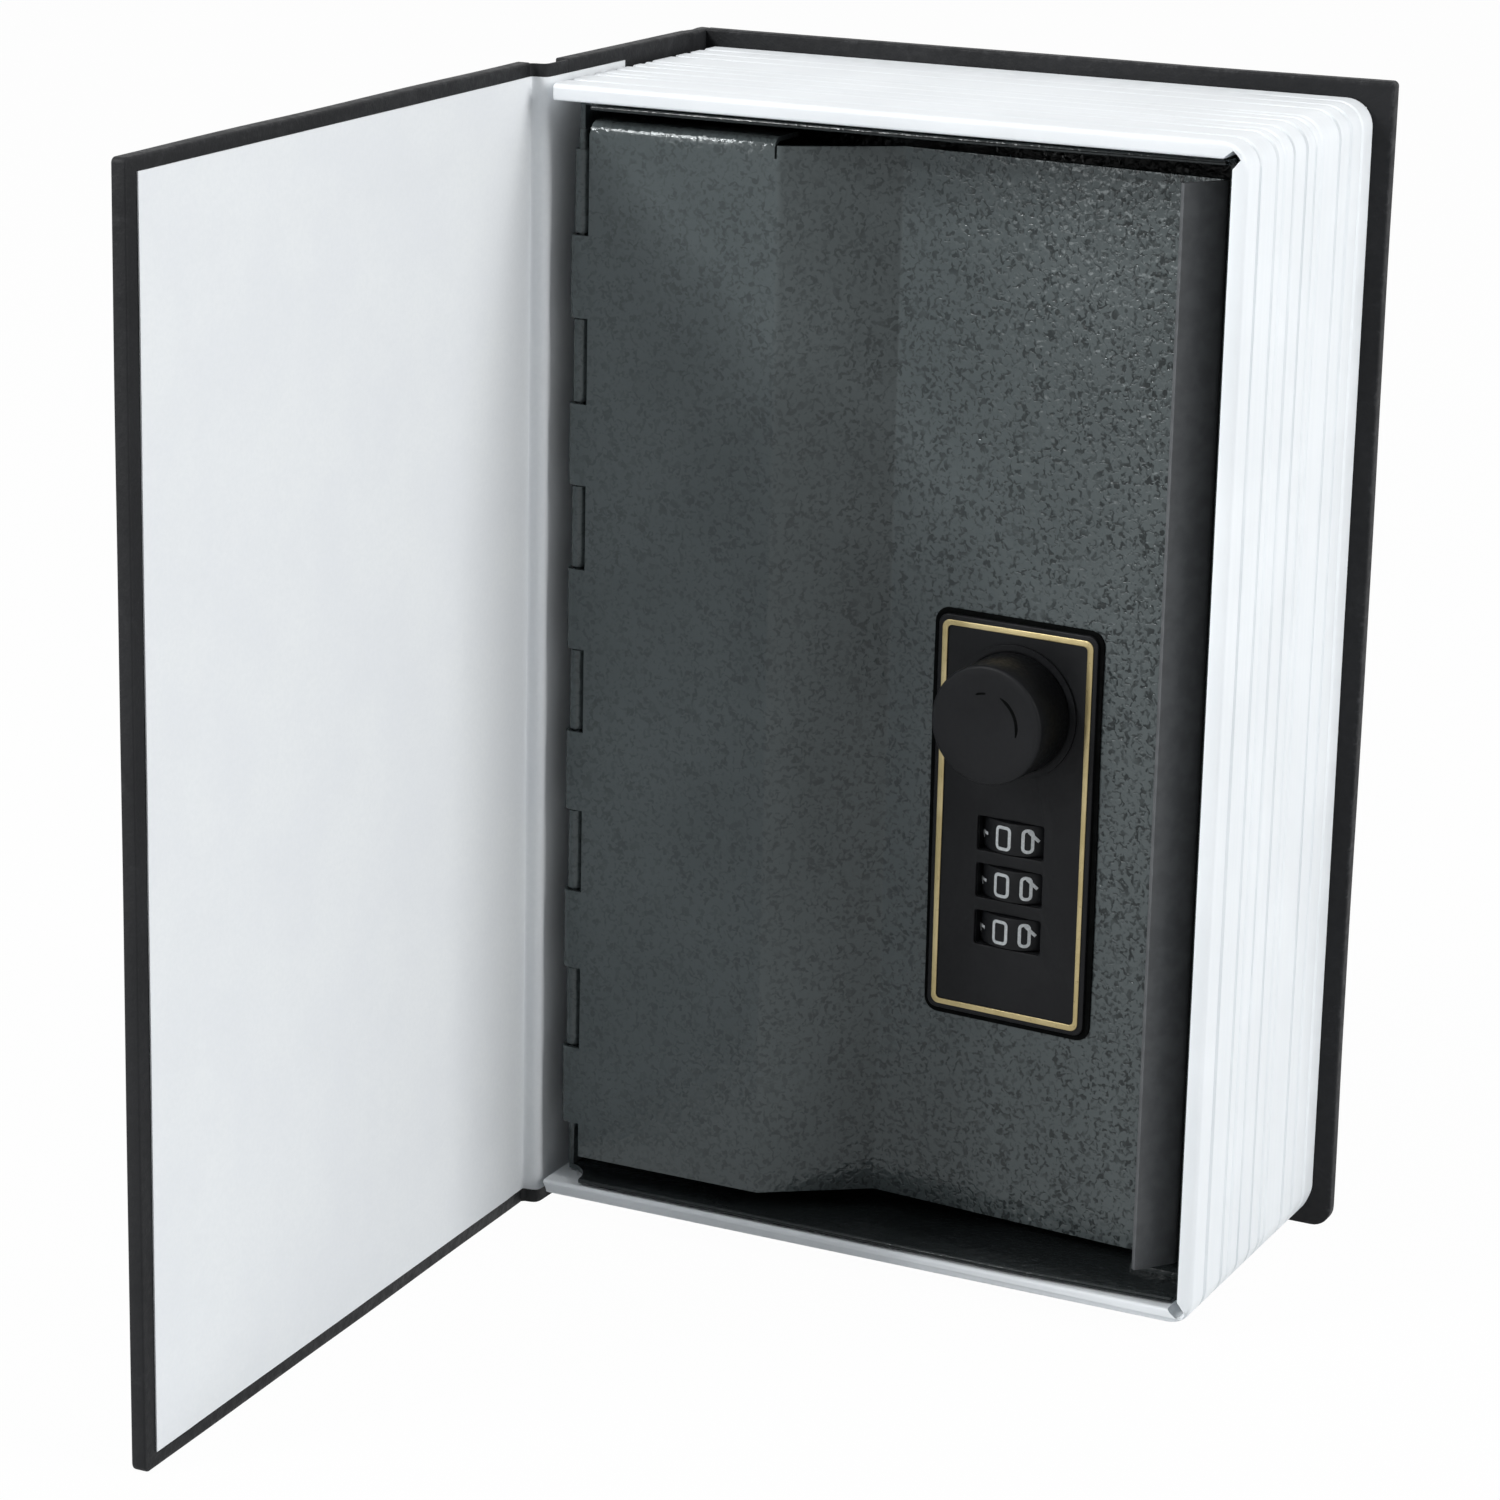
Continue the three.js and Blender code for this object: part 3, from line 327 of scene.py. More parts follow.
# %% [markdown]
# ## The finishes of the binding and the page block
#
# Book covers like these are paper or cloth with a black plastic skin, pressed with a fine leather
# grain. It is darker in the grain and a little greyer where hands rub it. The endpaper is smooth
# uncoated paper with a faint cloud of fibres. The page block is one moulding in white plastic, with
# very fine lines along it that stand for page edges. Marks this fine could be modelled, but only
# with millions of faces, so bump and colour patterns carry them.

# %% Leatherette, endpaper and page plastic
def leatherette():
    skin = Finish("black_leatherette", 0.6, specular=0.2)
    worn = skin.ramp(skin.grain(5.5, 6, 0.62, 0.6), 0.56, 0.74, 0.0, 0.15)
    # Head, tail and fore-edge are where a book rubs on its shelf.
    head = skin.ramp(skin.place(2), 179.2 * MM, 179.75 * MM, 0.0, 1.0)
    tail = skin.ramp(skin.place(2), 0.25 * MM, 0.8 * MM, 1.0, 0.0)
    fore = skin.ramp(skin.place(0), 58.4 * MM, 59.1 * MM, 0.0, 1.0)
    edges = skin.math("MAXIMUM", skin.math("MAXIMUM", head, tail), fore)
    scuffed = skin.math("MULTIPLY", edges, skin.ramp(skin.grain(1.6, 5, 0.7, 0.8), 0.5, 0.68, 0.0, 0.35))
    base = skin.mix(skin.cloud(26, 3), rgb("151618"), rgb("1b1c1e"))
    skin.colour(skin.mix(skin.math("MAXIMUM", worn, scuffed), base, rgb("4c4d4f")))
    skin.uneven_gloss(1.3, 3, 0.52, 0.68)
    skin.bump(skin.pebbles(0.42), 0.05, 0.55)
    skin.bump(skin.grain(0.9, 3), 0.06, 0.5)
    return skin.material


def endpaper():
    paper = Finish("white_endpaper", 0.85, specular=0.18)
    tone = paper.mix(paper.cloud(18, 4, 0.6), rgb("e8ebee"), rgb("ebeef0"))
    fibres = paper.math("MULTIPLY", paper.cloud(0.7, 3, 0.6, 0.3, 0.7), 0.35)
    paper.colour(paper.mix(fibres, tone, rgb("e2e6e9")))
    paper.bump(paper.grain(0.5, 3), 0.02, 0.3)
    return paper.material


def page_plastic():
    plastic = Finish("white_page_plastic", 0.42, specular=0.35)
    streaks = plastic.grain(0.9, 2, 0.5, space=plastic.stretched(0.02, 1.0, 0.02))
    tone = plastic.mix(plastic.cloud(20, 3), rgb("e9edf0"), rgb("eef2f5"))
    plastic.colour(plastic.mix(plastic.ramp(streaks, 0.35, 0.62, 0.14, 0.0), tone, rgb("dde3e8")))
    plastic.uneven_gloss(2.5, 3, 0.36, 0.5)
    plastic.bump(streaks, 0.025, 0.25)
    plastic.bump(plastic.grain(0.4, 2), 0.01, 0.2)
    return plastic.material


LEATHERETTE = leatherette()
ENDPAPER = endpaper()
PAGE_PLASTIC = page_plastic()
print("binding finishes:", LEATHERETTE.name, ENDPAPER.name, PAGE_PLASTIC.name)

# %% [markdown]
# ## The finishes of the steel and the lock
#
# Hammered paint dries into a skin of small shallow dimples. The dimples look like dark specks where
# they turn away from the lamps and like sparks where they face one. A noise pattern that is cut off
# at a level gives the dimples, and their colour is painted darker too, as painted shade in them.
# They are deeper, and their painted shade darker, towards the fore-edge.
# A cell pattern could give them too, but with more even dimples than paint has. The small plain
# finishes differ only in numbers, so one function makes them all.

# %% Hammered paint
def hammered_paint(name, light, dark):
    coat = Finish(name, 0.2, metallic=0.1, specular=0.25)
    dimples = coat.ramp(coat.grain(0.8, 1.0, 0.4, 0.8), 0.46, 0.66, 0.0, 1.0)
    toward_fore_edge = coat.ramp(coat.place(0), -45 * MM, 45 * MM, 0.35, 1.0)
    patches = coat.math("MULTIPLY", toward_fore_edge, coat.ramp(coat.grain(2.6, 1.0), 0.3, 0.6, 0.5, 1.0))
    dimples = coat.math("MULTIPLY", dimples, patches)
    base = coat.mix(coat.cloud(30, 2), rgb(light), rgb(dark))
    # Painted shade: the dimples are painted darker, the more so towards the fore-edge.
    coat.colour(coat.mix(dimples, base, rgb("262b2c")))
    coat.uneven_gloss(0.8, 2, 0.08, 0.2)
    coat.bump(coat.grain(1.3, 1.0, 0.4, 0.3), 0.13)
    coat.bump(dimples, -0.05)
    return coat.material


HAMMERED = hammered_paint("grey_hammered_paint", "535a5b", "4d5455")
# A darker copy of the paint for inside the box, as painted shade.
HAMMERED_SHADED = hammered_paint("hammered_paint_painted_shade", "2b2f30", "272b2c")
print("steel finishes:", HAMMERED.name, HAMMERED_SHADED.name)

# %% Simple finishes, gold line and bare metals
def simple_finish(name, roughness, tones, cloud, skin, specular, gloss=None):
    """A cloud of two tones. The skin is a bump, given as size, detail, height and strength."""
    made = Finish(name, roughness, specular=specular)
    made.colour(made.mix(made.cloud(*cloud), *map(rgb, tones)))
    if gloss:
        made.uneven_gloss(*gloss)
    made.bump(made.grain(*skin[:2]), *skin[2:])
    return made.material


def gold_paint():
    gold = Finish("gold_line_foil", 0.34, metallic=0.75, specular=0.5)
    worn = gold.ramp(gold.grain(0.55, 4, 0.65, 0.5), 0.6, 0.72, 0.0, 1.0)
    tone = gold.mix(gold.cloud(6, 3, 0.5, 0.3, 0.7), rgb("a29368"), rgb("b7a87e"))
    gold.colour(gold.mix(gold.math("MULTIPLY", worn, 0.6), tone, rgb("5a4f34")))
    gold.bump(gold.grain(0.4, 3), 0.02, 0.5)
    return gold.material


def bare_metal(name, light, dark, roughness):
    metal = Finish(name, roughness, metallic=0.9)
    brushed = metal.grain(0.5, 3, 0.6, space=metal.stretched(1, 1, 0.08))
    metal.colour(metal.mix(metal.ramp(brushed, 0.3, 0.7, 0.0, 1.0), rgb(light), rgb(dark)))
    metal.uneven_gloss(1.2, 3, roughness - 0.08, roughness + 0.12)
    metal.bump(brushed, 0.01, 0.3)
    return metal.material


# A lighter plain grey for the door's lip, which is painted light.
LIP_PAINTED_LIGHT = simple_finish(
    "lip_grey_painted_light", 0.4, ("5c5e60", "535557"), (2.2, 3), (1.3, 1, 0.03, 0.6), 0.4, (0.8, 2, 0.32, 0.46)
)
LOCK_PLASTIC = simple_finish(
    "black_lock_plastic", 0.5, ("121315", "17181a"), (9, 3), (0.25, 2, 0.02, 0.35), 0.15, (0.6, 2, 0.42, 0.58)
)
# Matt black for the painted shadow round the lock plate, and for the arcs on the knob.
SOFT_BLACK = simple_finish(
    "matt_black_painted_shadow_and_knob_arcs", 0.9, ("060707", "0b0c0c"), (1.5, 3), (0.3, 2, 0.03, 0.4), 0.03
)
DIGITS = simple_finish(
    "light_grey_digit_paint", 0.5, ("b4b8ba", "c6cacb"), (0.35, 3), (0.2, 2, 0.01, 0.3), 0.3
)
GREYBOARD = simple_finish(
    "grey_board", 0.9, ("86837d", "97948d"), (0.8, 4, 0.6, 0.3, 0.7), (0.5, 3, 0.05, 0.5), 0.2
)
GOLD = gold_paint()
ZINC = bare_metal("zinc_plate", "b6b9bb", "a0a4a7", 0.34)
BRASS = bare_metal("turned_brass", "c2a463", "a98b4e", 0.32)
print("finishes made:", len(bpy.data.materials))

# %% [markdown]
# ## Tools for shapes
#
# Most pieces here are one of three things. A bent sheet is a grid with a front, a back and rims. A
# moulding or a turned piece is a row of closed rings. A flat cut plate is an outline with holes,
# which a Blender curve fills and rounds along every edge. Pieces could also be cut from cubes, but
# grids, rings and outlines keep the faces regular, so edges round well and sheets bend well.

# %% From points to a piece
def piece_of(name, points, faces, finish, place=at, crease=40):
    mesh = bpy.data.meshes.new(name)
    mesh.from_pydata([place(*p) for p in points], [], [list(map(int, f)) for f in faces])
    form = bmesh.new()
    form.from_mesh(mesh)
    bmesh.ops.delete(form, geom=[v for v in form.verts if not v.link_faces], context="VERTS")
    bmesh.ops.remove_doubles(form, verts=form.verts, dist=0.002 * MM)
    bmesh.ops.recalc_face_normals(form, faces=form.faces)
    form.to_mesh(mesh)
    form.free()
    mesh.materials.append(finish)
    mesh.shade_smooth()
    mesh.set_sharp_from_angle(angle=math.radians(crease))
    piece = bpy.data.objects.new(name, mesh)
    scene.collection.objects.link(piece)
    return piece


def rounded(piece, width, segments):
    """Rounds the sharp edges for good, so that what is measured and bent later is the final mesh."""
    bevel = piece.modifiers.new("rounded_edges", "BEVEL")
    bevel.width, bevel.segments = width * MM, segments
    bevel.limit_method, bevel.angle_limit = "ANGLE", math.radians(50)
    bevel.harden_normals = False
    graph = bpy.context.evaluated_depsgraph_get()
    mesh = bpy.data.meshes.new_from_object(piece.evaluated_get(graph))
    piece.modifiers.clear()
    piece.data = mesh
    mesh.shade_smooth()
    mesh.set_sharp_from_angle(angle=math.radians(40))


def dress(piece, slot, body, *nodes):
    """Puts a piece in the place of solids and says what it moves with. The slot is not used."""
    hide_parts(*nodes)
    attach(piece, body)


# %% Sheets and rings
def clamped(value):
    return min(1.0, max(0.0, value))


def ripple(*place):
    """A smooth random height between -1 and 1 that is the same at every run."""
    return noise.noise(Vector(place))


def sheet_faces(columns, rows, present):
    """Faces of a sheet. Its points run by column, row and side, and present says which cells it has."""
    def number(cell, side):
        return (cell[0] * rows + cell[1]) * 2 + side

    faces = []
    for i, j in zip(*np.nonzero(present)):
        a, b, c, d = (i, j), (i + 1, j), (i + 1, j + 1), (i, j + 1)
        faces.append([number(p, 0) for p in (a, b, c, d)])
        faces.append([number(p, 1) for p in (d, c, b, a)])
        for p, q, di, dj in ((a, b, 0, -1), (b, c, 1, 0), (c, d, 0, 1), (d, a, -1, 0)):
            ni, nj = i + di, j + dj
            inside = 0 <= ni < columns - 1 and 0 <= nj < rows - 1
            if not inside or not present[ni, nj]:
                faces.append([number(q, 0), number(p, 0), number(p, 1), number(q, 1)])
    return faces


def sheet_piece(name, front, back, finish, present=None, crease=40):
    columns, rows = front.shape[:2]
    if present is None:
        present = np.ones((columns - 1, rows - 1), bool)
    points = np.stack([front, back], 2).reshape(-1, 3)
    return piece_of(name, points, sheet_faces(columns, rows, present), finish, crease=crease)


def ring_faces(rings, count, ends="flat", outline=None):
    """Faces between rings of points. A hollow outline is given too, to cut its ends into triangles."""
    last = (rings - 1) * count
    faces = []
    for i in range(rings - 1):
        for k in range(count):
            a, b = i * count + k, i * count + (k + 1) % count
            faces.append([a, b, b + count, a + count])
    if outline is not None:
        cap = geometry.tessellate_polygon([[Vector(p) for p in outline]])
        faces += [list(triangle) for triangle in cap] + [[last + k for k in triangle] for triangle in cap]
    elif ends == "flat":
        faces += [list(range(count)), [last + k for k in range(count)]]
    elif ends == "joined":
        faces += [[last + k, last + (k + 1) % count, (k + 1) % count, k] for k in range(count)]
    return faces


def joined_shells(shells):
    """Several closed meshes, each given as points and faces, as the points and faces of one."""
    points, faces = [], []
    for shell_points, shell_faces in shells:
        faces += [[len(points) + n for n in face] for face in shell_faces]
        points += [tuple(p) for p in shell_points]
    return points, faces


# %% Rounded outlines and cut plates
def arc(cx, cy, radius, degrees):
    """Points of a circle at the given angles, each with the direction away from its centre."""
    turns = [(math.cos(math.radians(d)), math.sin(math.radians(d))) for d in degrees]
    return [(cx + radius * c, cy + radius * s, c, s) for c, s in turns]


def rounded_loop(x0, x1, z0, z1, radii, steps=8):
    """A rectangle whose corners have their own radii, from the lower left, anticlockwise."""
    if not isinstance(radii, (tuple, list)):
        radii = [radii] * 4
    corners = [(x0, z0, 1, 1, 180), (x1, z0, -1, 1, 270), (x1, z1, -1, -1, 0), (x0, z1, 1, -1, 90)]
    loop = []
    for (x, z, sx, sz, start), r in zip(corners, radii):
        turns = [start + 90 * k / steps for k in range(steps + 1)] if r else [start]
        loop += [p[:2] for p in arc(x + sx * r, z + sz * r, r, turns)]
    return loop


def cut_plate(name, loops, y0, y1, rounding, finish, place=at):
    """A flat plate between two depths, cut to an outline with holes, its edges rounded on both faces."""
    curve = bpy.data.curves.new(name, "CURVE")
    curve.dimensions = "2D"
    curve.fill_mode = "BOTH"
    for loop in loops:
        spline = curve.splines.new("POLY")
        spline.points.add(len(loop) - 1)
        for point, (x, z) in zip(spline.points, loop):
            point.co = (x, z, 0, 1)
        spline.use_cyclic_u = True
    curve.extrude = abs(y1 - y0) / 2 - rounding
    curve.bevel_depth = rounding
    curve.bevel_resolution = 2
    curve.offset = -rounding
    drawn = bpy.data.objects.new(name, curve)
    scene.collection.objects.link(drawn)
    mesh = bpy.data.meshes.new_from_object(drawn.evaluated_get(bpy.context.evaluated_depsgraph_get()))
    points = [(v.co.x, (y0 + y1) / 2 - v.co.z, v.co.y) for v in mesh.vertices]
    faces = [list(p.vertices) for p in mesh.polygons]
    bpy.data.objects.remove(drawn)
    return piece_of(name, points, faces, finish, place)


print("shape tools ready")

# %% [markdown]
# ## A bent path
#
# A press bends sheet metal along straight lines, and each bend has a small radius. So the door is
# drawn as a line with corners, seen from above, and each corner is rounded. Inside corners get the
# tool's radius and outside corners get that radius plus the thickness of the sheet. A flat mesh
# could be bent by a modifier, but a line puts each bend exactly where the solid has it.

# %% Bends
def bent_path(corners, thickness, inner, steps=6):
    """Front points of a bent strip and the direction that its front faces, as rows of x, y, nx, ny."""
    corners = [np.array(c, float) for c in corners]
    rows = []

    def facing(d):
        return np.array([d[1], -d[0]])

    def add(point, normal):
        rows.append([*point, *normal])

    headings = [b - a for a, b in zip(corners, corners[1:])]
    headings = [d / np.linalg.norm(d) for d in headings]
    add(corners[0], facing(headings[0]))
    for corner, before, after in zip(corners[1:-1], headings, headings[1:]):
        turn = math.atan2(before[0] * after[1] - before[1] * after[0], float(before @ after))
        if abs(turn) < 1e-6:
            add(corner, facing(before))
            continue
        radius = inner + thickness if turn > 0 else inner
        side = math.copysign(1, turn)
        start = corner - before * radius * math.tan(abs(turn) / 2)
        centre = start - facing(before) * side * radius
        for k in range(steps + 1):
            a = turn * k / steps
            f = facing(before)
            n = np.array([f[0] * math.cos(a) - f[1] * math.sin(a), f[0] * math.sin(a) + f[1] * math.cos(a)])
            add(centre + n * side * radius, n)
    add(corners[-1], facing(headings[-1]))
    return np.array(rows)


def split_path(path, places):
    """Adds points to a path where it crosses the given x places."""
    rows = [path[0]]
    for before, after in zip(path, path[1:]):
        low, high = sorted((before[0], after[0]))
        inside = [x for x in places if low + 1e-4 < x < high - 1e-4]
        for x in sorted(inside, reverse=bool(after[0] < before[0])):
            rows.append(before + (after - before) * (x - before[0]) / (after[0] - before[0]))
        rows.append(after)
    return np.array(rows)


# %% [markdown]
# ## The hinge knuckles
#
# Tongues of the sheet are rolled round the pin. Those of the door lie between those of the box, and
# through the slots in the door's edge the box's own knuckles can be seen. Plain tubes would be
# easier, but a rolled strip also shows where each tongue leaves its sheet.

# %% Hinge sizes
SHEET = 0.8
PIN = (3.15, 3.86)
CURL = 1.3
FIXED_CURL, FIXED_SHEET = 0.98, 0.4
HINGE_TOP = 167.75
KNUCKLE = 12.7733
KNUCKLE_GAP = 0.3


def knuckle_span(i):
    """Heights of knuckle i, counted down from the top. Even ones belong to the box."""
    top = HINGE_TOP - i * KNUCKLE
    return top - KNUCKLE + KNUCKLE_GAP / 2, top - KNUCKLE_GAP / 2


def curl(first, last, radius=CURL, step=12):
    """Centre-line points of a rolled tongue, with the direction away from the pin."""
    count = max(2, round(abs(last - first) / step))
    return arc(*PIN, radius, [first + (last - first) * k / count for k in range(count + 1)])


print("knuckles from", round(knuckle_span(11)[0], 1), "to", round(knuckle_span(0)[1], 1), "mm")

# %% [markdown]
# ## The steel door
#
# One sheet of steel makes the whole door: a flat part beside the hinge, a slanted part, a recessed
# panel for the lock and a lip that leans back over it. The flat part also has a flange along its
# top, and its rounded bend is what catches the light. The sheet is a grid, and cells are left out
# for the slots of the hinge, the opening for the lock and the notch beside the flange. Cutting them
# with other shapes would leave ragged faces, and this way one bevel rounds every edge. The lip gets
# a lighter, plainer grey paint, which is painted light where little light reaches it.

# %% The door's path, seen from above
DOOR_FRONT = 2.16
FOLD_X, RECESS_X, DOOR_RIGHT = 36.2, 51.1, 102.57
LIP_END = (97.75, 2.5)
SLOT_X = 4.95
FLANGE_X = (5.15, 35.3)
NOTCH = 0.35
LOCK_CUT = (11, 28.5)
BEND_INNER = 0.7


def panel_y(x):
    return DOOR_FRONT + 10.5 - math.tan(LEAN) * (x - RECESS_X)


corners = [
    (PIN[0], DOOR_FRONT),
    (FOLD_X, DOOR_FRONT),
    (RECESS_X, panel_y(RECESS_X)),
    (DOOR_RIGHT, panel_y(DOOR_RIGHT)),
    LIP_END,
]
CUT_X = [LOCK[0] + side * LOCK_CUT[0] * math.cos(LEAN) for side in (-1, 1)]
CUT_Z = [LOCK[2] - LOCK_CUT[1], LOCK[2] + LOCK_CUT[1]]
path = bent_path(corners, SHEET, BEND_INNER)
more_places = (14, 21, 28, 56, 90, 96)
path = split_path(path, [SLOT_X, *FLANGE_X, FLANGE_X[1] + NOTCH, *CUT_X, *more_places])
half = SHEET / 2
rolled = np.array([[x + half * nx, y + half * ny, nx, ny] for x, y, nx, ny in curl(-20, 270)[:-1]])
door_path = np.vstack([rolled, path])
print("door path:", len(door_path), "points")

# %% The door's heights and the cells it lacks
DOOR_FOOT, DOOR_HEAD = 9.2, 170.8
FLANGE_BEND, FLANGE_REACH, FLANGE_RAISE = 1.9, 6.2, 1.2
bend_foot = DOOR_HEAD - FLANGE_BEND
heights = {DOOR_FOOT, bend_foot, *CUT_Z, 20, 120, 150}
for i in range(1, 12, 2):
    heights.update(knuckle_span(i))
heights = sorted(heights)
bend_angles = [math.radians(90 * k / 6) for k in range(1, 7)]


def door_point(row, j, depth):
    """A point of the door: row is its place on the path, j its height, depth how far into the sheet."""
    x, y, nx, ny = row
    if j < len(heights):
        return [x - nx * depth, y - ny * depth, heights[j]]
    k = j - len(heights)
    flanged = FLANGE_X[0] - 1e-6 <= x <= FLANGE_X[1] + 1e-6 and abs(nx) < 1e-6
    if not flanged:
        z = bend_foot + FLANGE_BEND * min(1, (k + 1) / len(bend_angles))
        return [x - nx * depth, y - ny * depth, z]
    angle = bend_angles[min(k, len(bend_angles) - 1)]
    back = FLANGE_BEND - (FLANGE_BEND - depth) * math.cos(angle)
    up = (FLANGE_BEND - depth) * math.sin(angle)
    if k >= len(bend_angles):
        back += FLANGE_REACH * (k - len(bend_angles) + 1) / 2
    return [x, DOOR_FRONT + back, bend_foot + FLANGE_RAISE + up]


rows = len(heights) + len(bend_angles) + 2
grid = np.array(
    [[[door_point(row, j, depth) for j in range(rows)] for row in door_path] for depth in (0, SHEET)]
)
present = np.ones((len(door_path) - 1, rows - 1), bool)
for i in range(len(door_path) - 1):
    middle = (door_path[i][0] + door_path[i + 1][0]) / 2
    in_curl = i < len(rolled) or middle < SLOT_X
    in_flange = FLANGE_X[0] < middle < FLANGE_X[1] and not in_curl
    in_notch = FLANGE_X[1] < middle < FLANGE_X[1] + NOTCH
    on_panel = CUT_X[0] < middle < CUT_X[1] and i > len(rolled)
    for j in range(rows - 1):
        low = heights[j] if j < len(heights) else bend_foot + 0.1
        if in_curl:
            spans = [knuckle_span(n) for n in range(1, 12, 2)]
            present[i, j] = any(a - 1e-6 <= low < b - 1e-6 for a, b in spans)
        elif on_panel and CUT_Z[0] - 1e-6 <= low < CUT_Z[1] - 1e-6:
            present[i, j] = False
        elif j >= len(heights) - 1:
            past_bend = j >= len(heights) - 1 + len(bend_angles)
            present[i, j] = in_flange or not (past_bend or in_notch)
    if SLOT_X - 1e-6 < middle < FLANGE_X[0]:
        present[i, len(heights) + 2:] = False
print("door grid:", int(present.sum()), "of", present.size, "cells are steel")

# %% The door
door = sheet_piece("door_sheet", grid[0], grid[1], HAMMERED, present)
rounded(door, 0.26, 3)
# The lip's faces get the lighter grey: painted light.
door.data.materials.append(LIP_PAINTED_LIGHT)
lip_corner = at(LIP_END[0] - 0.5, 8.3, 0)
for face in door.data.polygons:
    if face.center.x > lip_corner.x and face.center.y < lip_corner.y:
        face.material_index = 1
dress(door, "hammertone", "door", "door")
print("door:", len(door.data.polygons), "faces")

# %% [markdown]
# ## The steel box
#
# The box behind the door is folded from the same sheet: a back, four walls and six knuckles of its
# own. Its front edges are what the eye sees, so they are rounded. On the hinge side the wall stops
# behind the knuckles, and the top and bottom walls are cut away in a curve that meets it. A hollow
# cube would do for the back, but the walls are a row of rings, because rings can follow that curve.
# Inside the box the paint is a darker copy, which is painted shade.

# %% Walls of the box
BOX_X, BOX_Z = (1.45, 105.57), (5.4, 174.6)
BOX_FRONT, BOX_BACK = 0.5, 51.95
WALL_CUT = 5.9
SIDE_BACK = 2.2
THROAT = 4.5


def throat_x(y):
    if y >= WALL_CUT:
        return BOX_X[0]
    share = (y - BOX_FRONT) / (WALL_CUT - BOX_FRONT)
    return BOX_X[0] + THROAT * math.sqrt(max(0.0, 1 - share * share))


def wall_ring(y, thin):
    """The folded top, side and bottom walls at one depth. The side wall starts further back."""
    half = SHEET / 2 * thin
    mid = SHEET / 2
    left = throat_x(y)
    loop = []
    for offset, order in ((half, 1), (-half, -1)):
        x1, z0, z1 = BOX_X[1] - mid + offset, BOX_Z[0] + mid - offset, BOX_Z[1] - mid + offset
        radius = 0.8 + offset
        side = [(left, z1), (40, z1), (80, z1)]
        side += [q[:2] for q in arc(x1 - radius, z1 - radius, radius, range(90, -1, -15))]
        side += [(x1, z) for z in (150, 110, 70, 30)]
        side += [q[:2] for q in arc(x1 - radius, z0 + radius, radius, range(0, -91, -15))]
        side += [(80, z0), (40, z0), (left, z0)]
        loop += side[::order]
    near = max(0.0, (WALL_CUT - y) / (WALL_CUT - BOX_FRONT))
    points = []
    for x, z in loop:
        on_side = clamped((x - (BOX_X[1] - 1.5)) / 0.6)
        points.append((x, y + SIDE_BACK * on_side * near, z))
    return points


edge = [math.radians(a) for a in (8, 25, 45, 65, 90)]
depths = [BOX_FRONT + SHEET / 2 * (1 - math.cos(a)) for a in edge]
thinness = [math.sin(a) for a in edge]
depths += [1.2, 1.6, 2.1, 2.7, 3.4, 4.2, 5.0, 5.5, 5.75, WALL_CUT, 12, 25, 38, BOX_BACK - 0.4]
thinness += [1] * (len(depths) - len(thinness))
rings = [wall_ring(y, thin) for y, thin in zip(depths, thinness)]
walls = [p for ring in rings for p in ring], ring_faces(len(rings), len(rings[0]), outline=wall_ring(20, 1))


def block(x0, x1, y0, y1, z0, z1):
    points = [(x, y, z) for x in (x0, x1) for y in (y0, y1) for z in (z0, z1)]
    return points, [[0, 1, 3, 2], [4, 6, 7, 5], [0, 4, 5, 1], [2, 3, 7, 6], [0, 2, 6, 4], [1, 5, 7, 3]]


print("box walls:", len(rings), "rings of", len(rings[0]), "points")

# %% Knuckles of the box
def rolled_sheet(line, z0, z1):
    sides = []
    for lift in (FIXED_SHEET / 2, -FIXED_SHEET / 2):
        side = [[[x + lift * nx, y + lift * ny, z] for z in (z0, z1)] for x, y, nx, ny in line]
        sides.append(np.array(side))
    return np.stack(sides, 2).reshape(-1, 3), sheet_faces(len(line), 2, np.ones((len(line) - 1, 1), bool))


TAB_WIDTH, TAB_FRONT = 9.8, 9.2
tongue_x = PIN[0] - FIXED_CURL
fixed_tongue = [(tongue_x, WALL_CUT + 1.2, -1, 0), (tongue_x, 4.9, -1, 0)] + curl(180, 480, FIXED_CURL)
shells = [walls]
shells.append(block(BOX_X[0], BOX_X[0] + SHEET, WALL_CUT, BOX_BACK - 0.4, BOX_Z[0] + 0.3, BOX_Z[1] - 0.3))
shells.append(block(*BOX_X, BOX_BACK - SHEET, BOX_BACK, *BOX_Z))
shells += [rolled_sheet(fixed_tongue, *knuckle_span(i)) for i in range(0, 12, 2)]
tab_x = (BOX_X[1] - SHEET - TAB_WIDTH, BOX_X[1] - SHEET / 2)
for tab_z in ((BOX_Z[0] + 0.5, BOX_Z[0] + 2 * SHEET), (BOX_Z[1] - 2 * SHEET, BOX_Z[1] - 0.5)):
    shells.append(block(*tab_x, TAB_FRONT, BOX_BACK - 0.4, *tab_z))
steel_box = piece_of("steel_box_shell", *joined_shells(shells), HAMMERED)
rounded(steel_box, 0.2, 2)
# Faces beyond the hinge side get the darker copy, which is painted shade.
steel_box.data.materials.append(HAMMERED_SHADED)
painted_shade_from = at(5.5, 0, 0)
for face in steel_box.data.polygons:
    if face.center.x > painted_shade_from.x:
        face.material_index = 1
dress(steel_box, "hammertone", "case", "steel_box")
print("box:", len(steel_box.data.polygons), "faces")

# %% [markdown]
# ## The page block
#
# A three-sided moulding stands for the pages. Long shallow grooves along its sides look like gaps
# between gatherings of pages. It is drawn as many rings from front to back, and each ring is drawn
# in by the depth of the groove there. The grooves wander a little, as paper does. Grooves cut out
# afterwards would be quicker to write, but they end abruptly, and these fade and open.

